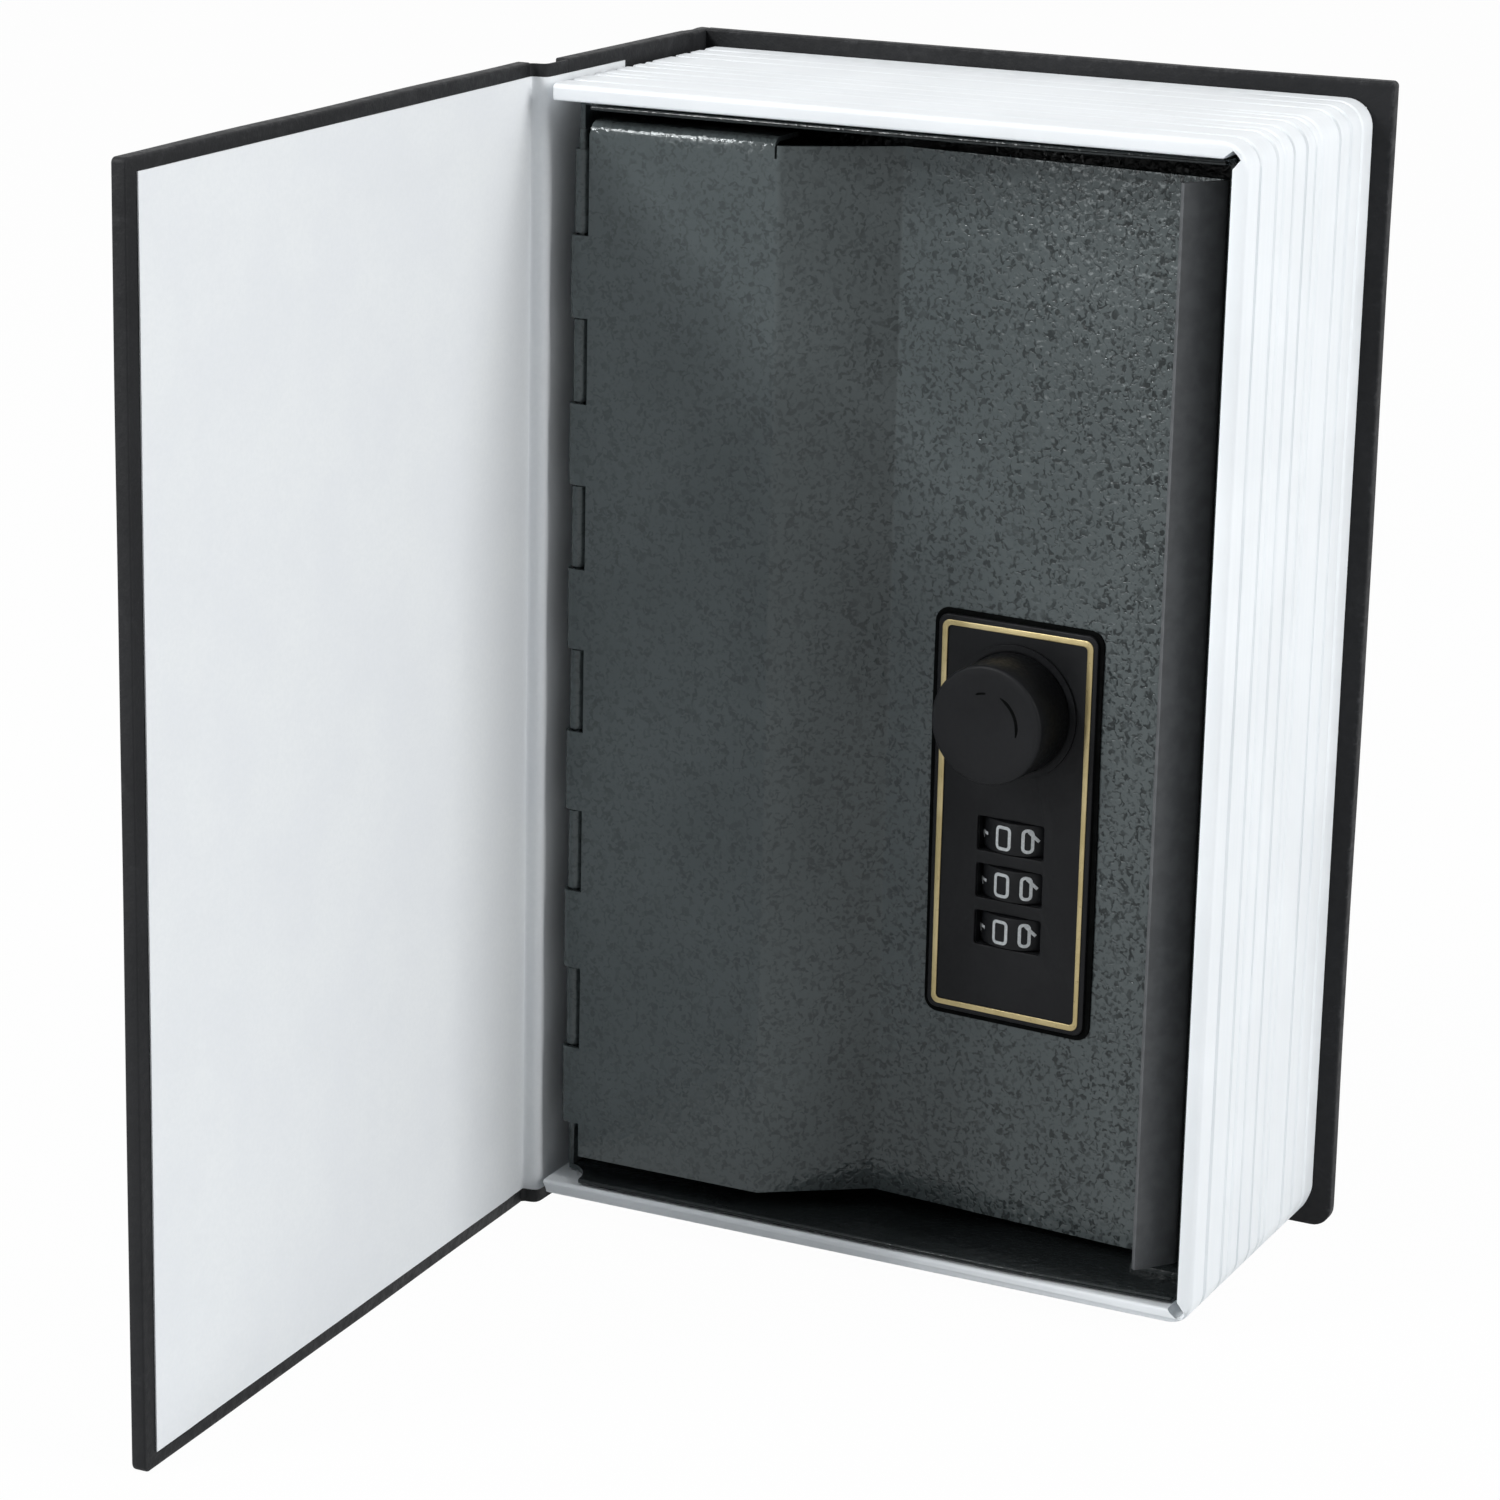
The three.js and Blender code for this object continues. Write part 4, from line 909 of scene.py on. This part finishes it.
# %% Grooves
TRAY_X, TRAY_Z, TRAY_DEPTH = 108.3, (2.6, 177.4), 53.75
RIM_END, RIM_SIDE = 2.5, 2.43
TRAY_CORNER, FRONT_ROUND, LIP_ROUND = 4.2, 0.7, 0.45
GROOVES = [
    (0.1, 1), (0.228, 0.8), (0.282, 0.45), (0.36, 0.85), (0.456, 0.9),
    (0.532, 0.6), (0.577, 0.45), (0.722, 0.9), (0.815, 0.7), (0.908, 0.5),
]
GROOVE_DEPTH, GROOVE_WIDTH = 0.75, 0.6
FOOT_SAG, FOOT_TILT = 1.2, 0.9


def rounding_loss(y, radius):
    """How far an edge of this radius has still to go outwards at this depth."""
    left = max(0.0, radius - y)
    return radius - math.sqrt(max(0.0, radius * radius - left * left))


def gape_at(x):
    """Grooves are fine half way along. They open beside the spine and towards the fore-edge."""
    return 0.12 + 1.7 * math.exp(-x / 4.5) + 1.1 * clamped((x - 92) / 14)


def groove_inset(y, gape):
    """How far the surface lies below the outline."""
    depth = 0.0
    for share, relative in GROOVES:
        away = abs(y - share * TRAY_DEPTH) / (GROOVE_WIDTH * max(1.0, 0.8 * gape))
        if away < 1:
            depth = max(depth, GROOVE_DEPTH * relative * gape * (0.5 + 0.5 * math.cos(math.pi * away)))
    back = max(0.0, y - (TRAY_DEPTH - 0.5))
    return depth + rounding_loss(y, FRONT_ROUND) + back * back


def wander(y, along):
    """How far the groove near this depth has wandered at this place along the block."""
    if y < 2 or y > TRAY_DEPTH - 2:
        return 0.0
    return 0.22 * ripple(along * 0.022, y * 0.6, 3.7)


deepest = max(groove_inset(0.1 * step, 1) for step in range(10, 530))
print("grooves:", len(GROOVES), "the deepest", round(deepest, 2), "mm where they don't gape")

# %% Rings of the page block
def tray_ring(y):
    x_ends = np.concatenate([[0, 0.7, 1.6, 2.8, 4.4, 6.5, 9], np.linspace(13, TRAY_X - TRAY_CORNER, 22)])
    z_side = np.linspace(TRAY_Z[0] + TRAY_CORNER, TRAY_Z[1] - TRAY_CORNER, 44)
    centre = TRAY_X - TRAY_CORNER
    outline = [(x, TRAY_Z[0], 0, -1, x) for x in x_ends]
    outline += [(*q, 110) for q in arc(centre, z_side[0], TRAY_CORNER, range(-81, 0, 9))]
    outline += [(TRAY_X, z, 1, 0, 110 + z) for z in z_side]
    outline += [(*q, 290) for q in arc(centre, z_side[-1], TRAY_CORNER, range(9, 90, 9))]
    outline += [(x, TRAY_Z[1], 0, 1, 400 - x) for x in x_ends[::-1]]
    ring = []
    sag = FOOT_SAG * y / TRAY_DEPTH
    for x, z, nx, nz, along in outline:
        inset = groove_inset(y + wander(y, along), gape_at(x))
        low = max(0.0, 1 - (z - TRAY_Z[0]) / RIM_END)
        tilt = FOOT_TILT * low * max(0.0, 1 - y / 3)
        ring.append((x - nx * inset, y + tilt, z - nz * inset - sag * low))
    lip = rounding_loss(y, LIP_ROUND)
    x_in, z_low, z_high = TRAY_X - RIM_SIDE + lip, TRAY_Z[0] + RIM_END - lip, TRAY_Z[1] - RIM_END + lip
    deep = 1.35 - lip if y < 5.2 else 0.02
    steps = [33.75 * k for k in range(1, 8)]
    ring += [(x, y, z_high) for x in np.linspace(0, x_in - 1.4, 12)]
    ring += [(x, y, z) for x, z, *_ in arc(x_in, z_high, deep, [180 - step for step in steps])]
    ring += [(x_in, y, z) for z in np.linspace(z_high - 1.4, z_low + 1.4, 30)]
    ring += [(x, y, z) for x, z, *_ in arc(x_in, z_low, deep, [90 - step for step in steps])]
    ring += [(x, y, z_low) for x in np.linspace(x_in - 1.4, 0, 12)]
    return ring


stations = {0.0, 0.05, 0.12, 0.22, 0.34, 0.5, 0.7, 5.19, 5.21, TRAY_DEPTH - 0.25, TRAY_DEPTH}
stations.update(np.round(np.arange(1.0, TRAY_DEPTH - 0.5, 0.28), 3).tolist())
stations = sorted(stations)
tray_rings = [tray_ring(y) for y in stations]
block_faces = ring_faces(len(tray_rings), len(tray_rings[0]), outline=tray_rings[0])
block_shell = [p for ring in tray_rings for p in ring], block_faces
tray_floor = block(0.6, TRAY_X - 1.2, BOX_BACK, TRAY_DEPTH - 0.02, TRAY_Z[0] + 1.25, TRAY_Z[1] - 1.25)
page_block = piece_of("page_block", *joined_shells([block_shell, tray_floor]), PAGE_PLASTIC)
dress(page_block, "page_plastic", "case", "page_tray")
print("page block:", len(stations), "rings of", len(tray_rings[0]), "points")

# %% [markdown]
# ## The covers
#
# A hardback's cover is board with its covering folded round the edges and glued down inside. Board
# and covering read as one thick leaf with soft edges, so each cover is one cut plate. The front one
# stands open, so it is drawn closed and then turned about the joint. Board and covering could be
# two meshes, but only the covering shows, so the board's solid stays as it is.

# %% The open front cover
HINGE = (-1.22, 2.58)
OPEN = math.radians(88.3)
CASE_HEIGHT, COVER_X = 180, (0.36, 111.2)
LEAF = 2.25
LEAF_ROUND, LEAF_WAVES = 0.32, 0.14
COVER_GAP = 0.75
PAPER = 0.2
COVER_FACE = -COVER_GAP + PAPER / 2


def opened(x, y):
    """Where a point of the closed cover stands when the cover is open."""
    dx, dy = x - HINGE[0], y - HINGE[1]
    c, s = math.cos(OPEN), math.sin(OPEN)
    return HINGE[0] + dx * c + dy * s, HINGE[1] - dx * s + dy * c


def on_cover(x, y, z):
    return at(*opened(x, y), z)


def wavy(loop, amount, seed):
    """The same outline with long shallow waves, as covering glued by hand has."""
    points = []
    for (x0, z0), (x1, z1) in zip(loop, loop[1:] + loop[:1]):
        steps = max(1, int(math.hypot(x1 - x0, z1 - z0) / 3))
        for k in range(steps):
            x, z = x0 + (x1 - x0) * k / steps, z0 + (z1 - z0) * k / steps
            dx, dz = (ripple(x * 0.03, z * 0.03, seed + shift) * amount for shift in (0, 9))
            points.append((x + dx, z + dz))
    return points


leaf_loop = rounded_loop(COVER_X[0] - 0.4, COVER_X[1], 0, CASE_HEIGHT, [0.4, 1.2, 0.8, 0.4])
leaf_y = (-COVER_GAP - LEAF, -COVER_GAP + 0.01)
front_leaf = cut_plate(
    "front_cover_leaf", [wavy(leaf_loop, LEAF_WAVES, 1)], *leaf_y, LEAF_ROUND, LEATHERETTE, on_cover
)
dress(front_leaf, "leatherette", "front_cover", "front_cloth")
print("front cover:", len(front_leaf.data.polygons), "faces")

# %% Spine and back cover
SPINE_X = (-4.2, -1.95)
BACK_Y = (53.75, 56.0)
SPINE_FRONT = 8.5
back_loop = rounded_loop(-2.4, COVER_X[1], 0, CASE_HEIGHT, [0.4, 3, 0.8, 0.4])
back_leaf = cut_plate(
    "back_cover_leaf", [wavy(back_loop, LEAF_WAVES, 2)], BACK_Y[0] - 0.01, BACK_Y[1], LEAF_ROUND, LEATHERETTE
)
dress(back_leaf, "leatherette", "case", "back_cloth")


def spine_place(y, x, z):
    return at(x, y, z)


spine_loop = rounded_loop(SPINE_FRONT - 0.27, 49.6, 0, CASE_HEIGHT, 0.3)
spine_leaf = cut_plate(
    "spine_leaf", [wavy(spine_loop, 0.06, 3)], SPINE_X[0], SPINE_X[1] + 0.01, 0.25, LEATHERETTE, spine_place
)
dress(spine_leaf, "leatherette", "case", "spine_cloth")
print("back cover and spine:", len(back_leaf.data.polygons) + len(spine_leaf.data.polygons), "faces")

# %% [markdown]
# ## The joints and the endpaper
#
# Between board and board there is only covering. The back cover never opens, so the back joint is a
# closed corner with shallow grooves. The front joint has to fold, so it is a fine sheet that turns
# smoothly between the case and the cover. The endpaper is one sheet: it lies on the cover, crosses
# the joint and ends inside the spine. Cloth simulation is for sheets that hang or fold freely. These
# are glued, so a grid along a drawn line is closer to them.

# %% Curved strips
def bezier(points, steps):
    a, b, c, d = (np.array(p, float) for p in points)
    rows = []
    for k in range(steps + 1):
        t = k / steps
        u = 1 - t
        rows.append(u ** 3 * a + 3 * u * u * t * b + 3 * u * t * t * c + t ** 3 * d)
    return rows


def smooth_line(knots, steps=4):
    """A soft line through all the given points."""
    knots = [np.array(k, float) for k in knots]
    ends = [2 * knots[0] - knots[1], *knots, 2 * knots[-1] - knots[-2]]
    rows = []
    for a, b, c, d in zip(ends, ends[1:], ends[2:], ends[3:]):
        for k in range(steps):
            t = k / steps
            bend = (2 * a - 5 * b + 4 * c - d) * t * t
            rows.append(0.5 * (2 * b + (c - a) * t + bend + (3 * b - a - 3 * c + d) * t ** 3))
    return rows + [knots[-1]]


def strip(name, line, z0, z1, thickness, finish, rise=None, z_places=None):
    """A sheet along a line seen from above. rise says how far it stands off the line at each place."""
    line = np.array([tuple(p) for p in line], float)
    ahead = np.gradient(line, axis=0)
    ahead /= np.linalg.norm(ahead, axis=1)[:, None]
    facing = np.stack([ahead[:, 1], -ahead[:, 0]], 1)
    rows_z = np.linspace(z0, z1, int((z1 - z0) / 3)) if z_places is None else np.array(z_places)
    front, back = [], []
    for i, (p, n) in enumerate(zip(line, facing)):
        lift = [rise(i / (len(line) - 1), z) if rise else 0.0 for z in rows_z]
        front.append([[*(p + n * (thickness / 2 + w)), z] for z, w in zip(rows_z, lift)])
        back.append([[*(p - n * (thickness / 2 - w)), z] for z, w in zip(rows_z, lift)])
    return sheet_piece(name, np.array(front), np.array(back), finish, crease=60)


def slack(amount, size, seed):
    """A soft waviness that is strongest half way along a strip and nothing at its ends."""
    def rise(share, z):
        return amount * math.sin(math.pi * share) * ripple(share * 2.5, z * size, seed)
    return rise


# %% The back joint and the front joint
def from_above(x, z, y):
    return at(x, y, z)


corner_outline = [
    (-1.96, 48.6), (-1.96, 53.77), (2.2, 53.77), (2.2, 55.98), (1.2, 55.95), (0.2, 55.7),
    (-0.9, 55.62), (-2.0, 55.75), (-3.2, 55.98), (-3.9, 55.9), (-4.15, 55.3), (-4.18, 54.3),
    (-4.0, 53.2), (-3.8, 52.2), (-3.85, 51.2), (-4.1, 50.2), (-4.18, 49.2), (-4.18, 48.6),
]
back_joint = cut_plate("back_joint_covering", [corner_outline], 0, CASE_HEIGHT, 0.5, LEATHERETTE, from_above)
dress(back_joint, "leatherette", "case", "spine_cloth")

JOINT_SHEET, JOINT_END = 0.42, 0.15
front_line = smooth_line([
    opened(2.2, -1.3), opened(1.2, -1.25), (-4.83, 0.9), (-4.62, 1.35), (-4.1, 1.72), (-3.3, 1.85),
    (-2.6, 2.1), (-2.3, 2.65), (-2.22, 3.3), (-2.2, 4.4), (-2.2, 5.8), (-2.2, 7.4), (-2.25, 9.7),
])
joint_z = (JOINT_END, CASE_HEIGHT - JOINT_END)
front_joint = strip(
    "front_joint_covering", front_line, *joint_z, JOINT_SHEET, LEATHERETTE, slack(0.06, 0.06, 7.7)
)
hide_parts("joint_cloth")
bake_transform(front_joint)
print("front joint:", len(front_joint.data.vertices), "points bend between case and cover")

# %% The endpaper
paper_x = (108.6, 108.3, 104, 99.7, 99.0, 98.3, *np.linspace(92, 6, 16), 3, 1.2)
paper_line = [opened(x, COVER_FACE) for x in paper_x]
paper_line += bezier([opened(0.3, COVER_FACE), opened(-0.56, COVER_FACE), (-1.85, 0.86), (-1.85, 2.58)], 16)
paper_line += [(-1.85, y) for y in (3.4, 4.5, 6, 9, 14, 20, 26)]
paper_z = [2.4, 2.65, 8, 11.2, 12, 12.8, *np.linspace(18, 162, 37), 167.2, 168, 168.8, 172, 177.7, 177.95]


def over_turn_ins(share, z):
    """The covering folded in below the paper lifts it a little along three edges of the cover."""
    step = share * (len(paper_line) - 1)
    if step >= 22:
        return 0.0
    fold = max(clamped((4.5 - step) / 2), *(clamped(0.5 + edge / 1.6) for edge in (12 - z, z - 168)))
    return 0.09 * fold + 0.05 * ripple(step * 0.35, z * 0.04, 1.3)


paper = strip("endpaper_sheet", paper_line, 2.05, 177.95, PAPER, ENDPAPER, over_turn_ins, paper_z)
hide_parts("front_endpaper", "joint_endpaper", "spine_endpaper")
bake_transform(paper)
print("endpaper:", len(paper_line), "steps from the cover's edge into the spine")

# %% [markdown]
# ## The lock plate and its gold line
#
# The lock's front is a black plastic plate with three windows. A flat ring in gold foil runs round
# it, and a matt black strip round the plate is painted shadow on the steel. All are cut plates, so
# their edges are rounded on every side, which gives them thin glints. The ring could be a painted
# pattern on the plate, but foil has an edge of its own that catches light.

# %% Plate and line
WHEEL_Z = [-2.02 - 7.34 * i for i in range(3)]
WHEEL_RADIUS, WHEEL_AXIS = 6.85, 5.4
KNOB_Z = 17.5
PLATE = (13.1, 30.7)


def box_loop(width, height, radius, *steps):
    """A rounded rectangle about the middle of the plate. Width and height are halves."""
    return rounded_loop(-width, width, -height, height, radius, *steps)


turn = [360 * k / 40 for k in range(40)]
plate_loops = [box_loop(*PLATE, 1.6)]
plate_loops += [rounded_loop(-5.5, 5.5, z - 2.65, z + 2.65, 0.35, 3) for z in WHEEL_Z]
plate_loops.append([q[:2] for q in arc(0, KNOB_Z, 3.4, turn)])
plate = cut_plate("lock_plate_face", plate_loops, -0.8, -0.02, 0.22, LOCK_PLASTIC, in_lock)
plug_loops = [box_loop(10.7, 28.2, 0.4, 3)] + plate_loops[1:]
plug = cut_plate("lock_plate_plug", plug_loops, -0.1, 1.6, 0.1, LOCK_PLASTIC, in_lock)
# Painted shadow: a matt black strip round the plate, its outer edge wavy.
shadow_rim_loops = [wavy(box_loop(13.95, 31.5, 2.3), 0.25, 6), box_loop(12.6, 30.2, 1)]
shadow_rim = cut_plate("lock_plate_painted_shadow", shadow_rim_loops, -0.3, 0.01, 0.1, SOFT_BLACK, in_lock)
for piece in (plate, plug, shadow_rim):
    dress(piece, "lock_plastic", "door", "lock_plate")

line_loops = [wavy(box_loop(12.35, 29.95, 1.25), 0.12, 4), wavy(box_loop(11.45, 29.05, 0.7), 0.3, 5)]
gold_line = cut_plate("gold_foil_line", line_loops, -1.0, -0.78, 0.1, GOLD, in_lock)
dress(gold_line, "gold", "door", "gold_line")
print("lock plate:", len(plate.data.polygons), "faces; windows at", [round(z, 2) for z in WHEEL_Z])

# %% [markdown]
# ## The knob
#
# The knob is turned about its own axis, so a profile swept in a circle makes it. A cylinder with a
# bevel would be close, but the profile gives the chamfer, the dished face and the foot their own
# sizes. Three faint arcs lie on its face.

# %% Turned pieces
def swept(profile, place_ring, count=72):
    """A profile of radius and depth, swept in a full circle. One that meets the axis has no bore."""
    points = [place_ring(*spot, 2 * math.pi * k / count) for spot in profile for k in range(count)]
    bored = profile[0][0] > 0 or profile[-1][0] > 0
    return points, ring_faces(len(profile), count, "joined" if bored else "open")


def round_knob(radius, depth, angle):
    return radius * math.cos(angle), depth, KNOB_Z + radius * math.sin(angle)


FACE_Y, FOOT_Y = -10.25, -1.05
knob_profile = [
    (0.0, FACE_Y + 0.12), (5.8, FACE_Y + 0.1), (7.5, FACE_Y + 0.02), (8.5, FACE_Y), (8.72, FACE_Y + 0.06),
    (8.9, FACE_Y + 0.2), (9.0, FACE_Y + 0.48), (9.0, FACE_Y + 3), (9.0, FOOT_Y - 0.35), (8.9, FOOT_Y - 0.1),
    (8.6, FOOT_Y), (3.1, FOOT_Y), (3.1, 1.9), (0.0, 1.9),
]
knob = piece_of("knob_turned", *swept(knob_profile, round_knob), LOCK_PLASTIC, in_lock, 35)
dress(knob, "lock_plastic", "knob", "knob")


def arc_rib(start, end, radius, half, rise, steps=30):
    """A faint arc on the knob's face, narrow at both ends."""
    points = []
    for k in range(steps + 1):
        turn = start + (end - start) * k / steps
        narrow = half * min(1.0, 0.35 + 4 * min(k, steps - k) / steps)
        for r, y in ((-narrow, 0.12), (-narrow * 0.5, -rise), (narrow * 0.5, -rise), (narrow, 0.12)):
            x, z = arc(0, KNOB_Z, radius + r, [turn])[0][:2]
            points.append((x, FACE_Y + 0.1 + y, z))
    return points, ring_faces(steps + 1, 4)


ribs = [
    arc_rib(-12, 64, 5.0, 0.42, 0.03),
    arc_rib(92, 112, 4.8, 0.3, 0.02),
    arc_rib(228, 240, 6.4, 0.3, 0.02),
]
knob_ribs = piece_of("knob_arcs", *joined_shells(ribs), SOFT_BLACK, in_lock, 30)
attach(knob_ribs, "knob")
print("knob:", len(knob.data.polygons), "faces")

# %% [markdown]
# ## The number wheels
#
# Each wheel carries the ten digits, lying on their sides round its rim. A digit is a few strokes on
# a small card. Each stroke becomes a flat bar that is bent round the wheel and stands a hair proud,
# as thick paint does. A text object would be flat and would need a font, and bars can follow the
# wheel. The strokes here are plain generic numerals.

# %% Strokes of the digits
def arc_stroke(cx, cy, rx, ry, start, end, steps=12):
    angles = [math.radians(start + (end - start) * k / steps) for k in range(steps + 1)]
    return [(cx + rx * math.cos(a), cy + ry * math.sin(a)) for a in angles]


def loop_stroke(x0, x1, y0, y1, radius):
    return rounded_loop(x0, x1, y0, y1, radius, 4), True


def stroke(*points):
    return list(points), False


W, H = 3.3, 2.2
MID = W / 2
FIRST_DIGIT = -7.5
STROKES = [
    [loop_stroke(0, W, 0, H, 0.55)],
    [stroke((0.2 * W, 0.7 * H), (0.47 * W, H), (0.47 * W, 0.08 * H))],
    [stroke(*arc_stroke(MID, 0.7 * H, MID, 0.3 * H, 170, -25), (0, 0), (W, 0))],
    [stroke(*arc_stroke(MID, 0.74 * H, 0.45 * W, 0.26 * H, 165, -90),
            *arc_stroke(MID, 0.25 * H, MID, 0.25 * H, 90, -165))],
    [stroke((0.7 * W, 0), (0.7 * W, H), (0, 0.32 * H), (W, 0.32 * H))],
    [stroke((0.92 * W, H), (0.1 * W, H), (0.05 * W, 0.58 * H),
            *arc_stroke(MID, 0.3 * H, MID, 0.3 * H, 100, -165))],
    [loop_stroke(0, W, 0, 0.58 * H, 0.6), stroke((0.03 * W, 0.4 * H), (0.6 * W, H))],
    [stroke((0, H), (W, H), (0.35 * W, 0))],
    [loop_stroke(0, W, 0, 0.52 * H, 0.55), loop_stroke(0.08 * W, 0.92 * W, 0.52 * H, H, 0.5)],
    [loop_stroke(0, W, 0.34 * H, H, 0.6), stroke((0.95 * W, 0.62 * H), (0.5 * W, -0.1 * H))],
]
INK_HALF, INK_RISE, INK_ROOT = 0.24, 0.05, -0.1


def stroke_bar(line, closed):
    """A stroke on the card as a row of four-cornered rings: u to the right, v up, and the height."""
    dense = []
    ends = line + line[:1] if closed else line
    for (u0, v0), (u1, v1) in zip(ends, ends[1:]):
        steps = max(1, int(math.hypot(u1 - u0, v1 - v0) / 0.35))
        dense += [(u0 + (u1 - u0) * k / steps, v0 + (v1 - v0) * k / steps) for k in range(steps)]
    if not closed:
        dense.append(line[-1])
    card = []
    count = len(dense)
    for k in range(count):
        before = dense[k - 1 if closed or k else 0]
        after = dense[(k + 1) % count if closed else min(k + 1, count - 1)]
        du, dv = after[0] - before[0], after[1] - before[1]
        size = math.hypot(du, dv) or 1.0
        nu, nv = -dv / size * INK_HALF, du / size * INK_HALF
        u, v = dense[k]
        square = ((1, INK_ROOT), (1, INK_RISE), (-1, INK_RISE), (-1, INK_ROOT))
        card.append([(u + side * nu, v + side * nv, rise) for side, rise in square])
    return card


print("digits drawn:", len(STROKES))

# %% Digits bent round a wheel
def digit_shells(digit, wheel_z):
    made = []
    for line, closed in STROKES[digit]:
        card = stroke_bar(line, closed)
        points = []
        for u, v, rise in (corner for ring in card for corner in ring):
            around = math.radians(FIRST_DIGIT - 36 * digit) - (v - H / 2) / WHEEL_RADIUS
            r = WHEEL_RADIUS + rise
            points.append((r * math.sin(around), WHEEL_AXIS - r * math.cos(around), wheel_z + u - W / 2))
        made.append((points, ring_faces(len(card), 4, "joined" if closed else "flat")))
    return made


half_profile = [(2.95, 2.5), (6.4, 2.5), (6.7, 2.4), (WHEEL_RADIUS, 2.1)]
wheel_profile = [(r, -z) for r, z in half_profile] + half_profile[::-1]
for i, wheel_z in enumerate(WHEEL_Z):
    def round_wheel(radius, height, angle, z=wheel_z):
        return radius * math.sin(angle), WHEEL_AXIS - radius * math.cos(angle), z + height

    wheel = piece_of(f"wheel_{i + 1}_rim", *swept(wheel_profile, round_wheel, 90), LOCK_PLASTIC, in_lock, 35)
    dress(wheel, "lock_plastic", f"wheel_{i + 1}", f"number_wheel_{i + 1}")
    shells = [shell for digit in range(10) for shell in digit_shells(digit, wheel_z)]
    digits = piece_of(f"wheel_{i + 1}_digits", *joined_shells(shells), DIGITS, in_lock, 30)
    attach(digits, f"wheel_{i + 1}")
print("wheels with digits:", len(WHEEL_Z))

# %% [markdown]
# ## Finishes for the solids that stay
#
# The small parts of the mechanism have the right shape already. Each only gets the finish of the
# real thing: zinc for the cam, brass for the sleeves, black plastic for the lock's case. The three
# boards inside the covers get grey board. New meshes would add nothing that can be seen.

# %% The other solids
FINISH_OF = {
    "front_board": GREYBOARD, "spine_board": GREYBOARD, "back_board": GREYBOARD,
    "hinge_pin": HAMMERED, "strike": HAMMERED,
    "knob_collar": LOCK_PLASTIC, "lock_case": LOCK_PLASTIC, "code_lever": LOCK_PLASTIC,
    "wheel_axle": ZINC, "detent_spring": ZINC, "spindle": ZINC, "latch_cam": ZINC, "cam_nut": ZINC,
    "follower_bar": ZINC, "lock_screw_head": ZINC, "lock_screw_tail": ZINC,
}
FINISH_OF.update({f"clutch_sleeve_{i}": BRASS for i in (1, 2, 3)})
FINISH_OF.update({f"box_rivet_{i}": ZINC for i in (1, 2, 3, 4)})
for name, finish in FINISH_OF.items():
    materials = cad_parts[name].data.materials
    materials.clear()
    materials.append(finish)
print("solids refinished:", len(FINISH_OF))

# %% [markdown]
# ## The size of the dressed model
#
# The new pieces must not make the object bigger. The box of the dressed model is compared
# with the box of the solids.

shown_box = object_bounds()
growth = [round((b - a) / MM, 2) for a, b in zip((*cad_box[0], *cad_box[1]), (*shown_box[0], *shown_box[1]))]
print("visual box beyond the solids' box, mm:", growth)
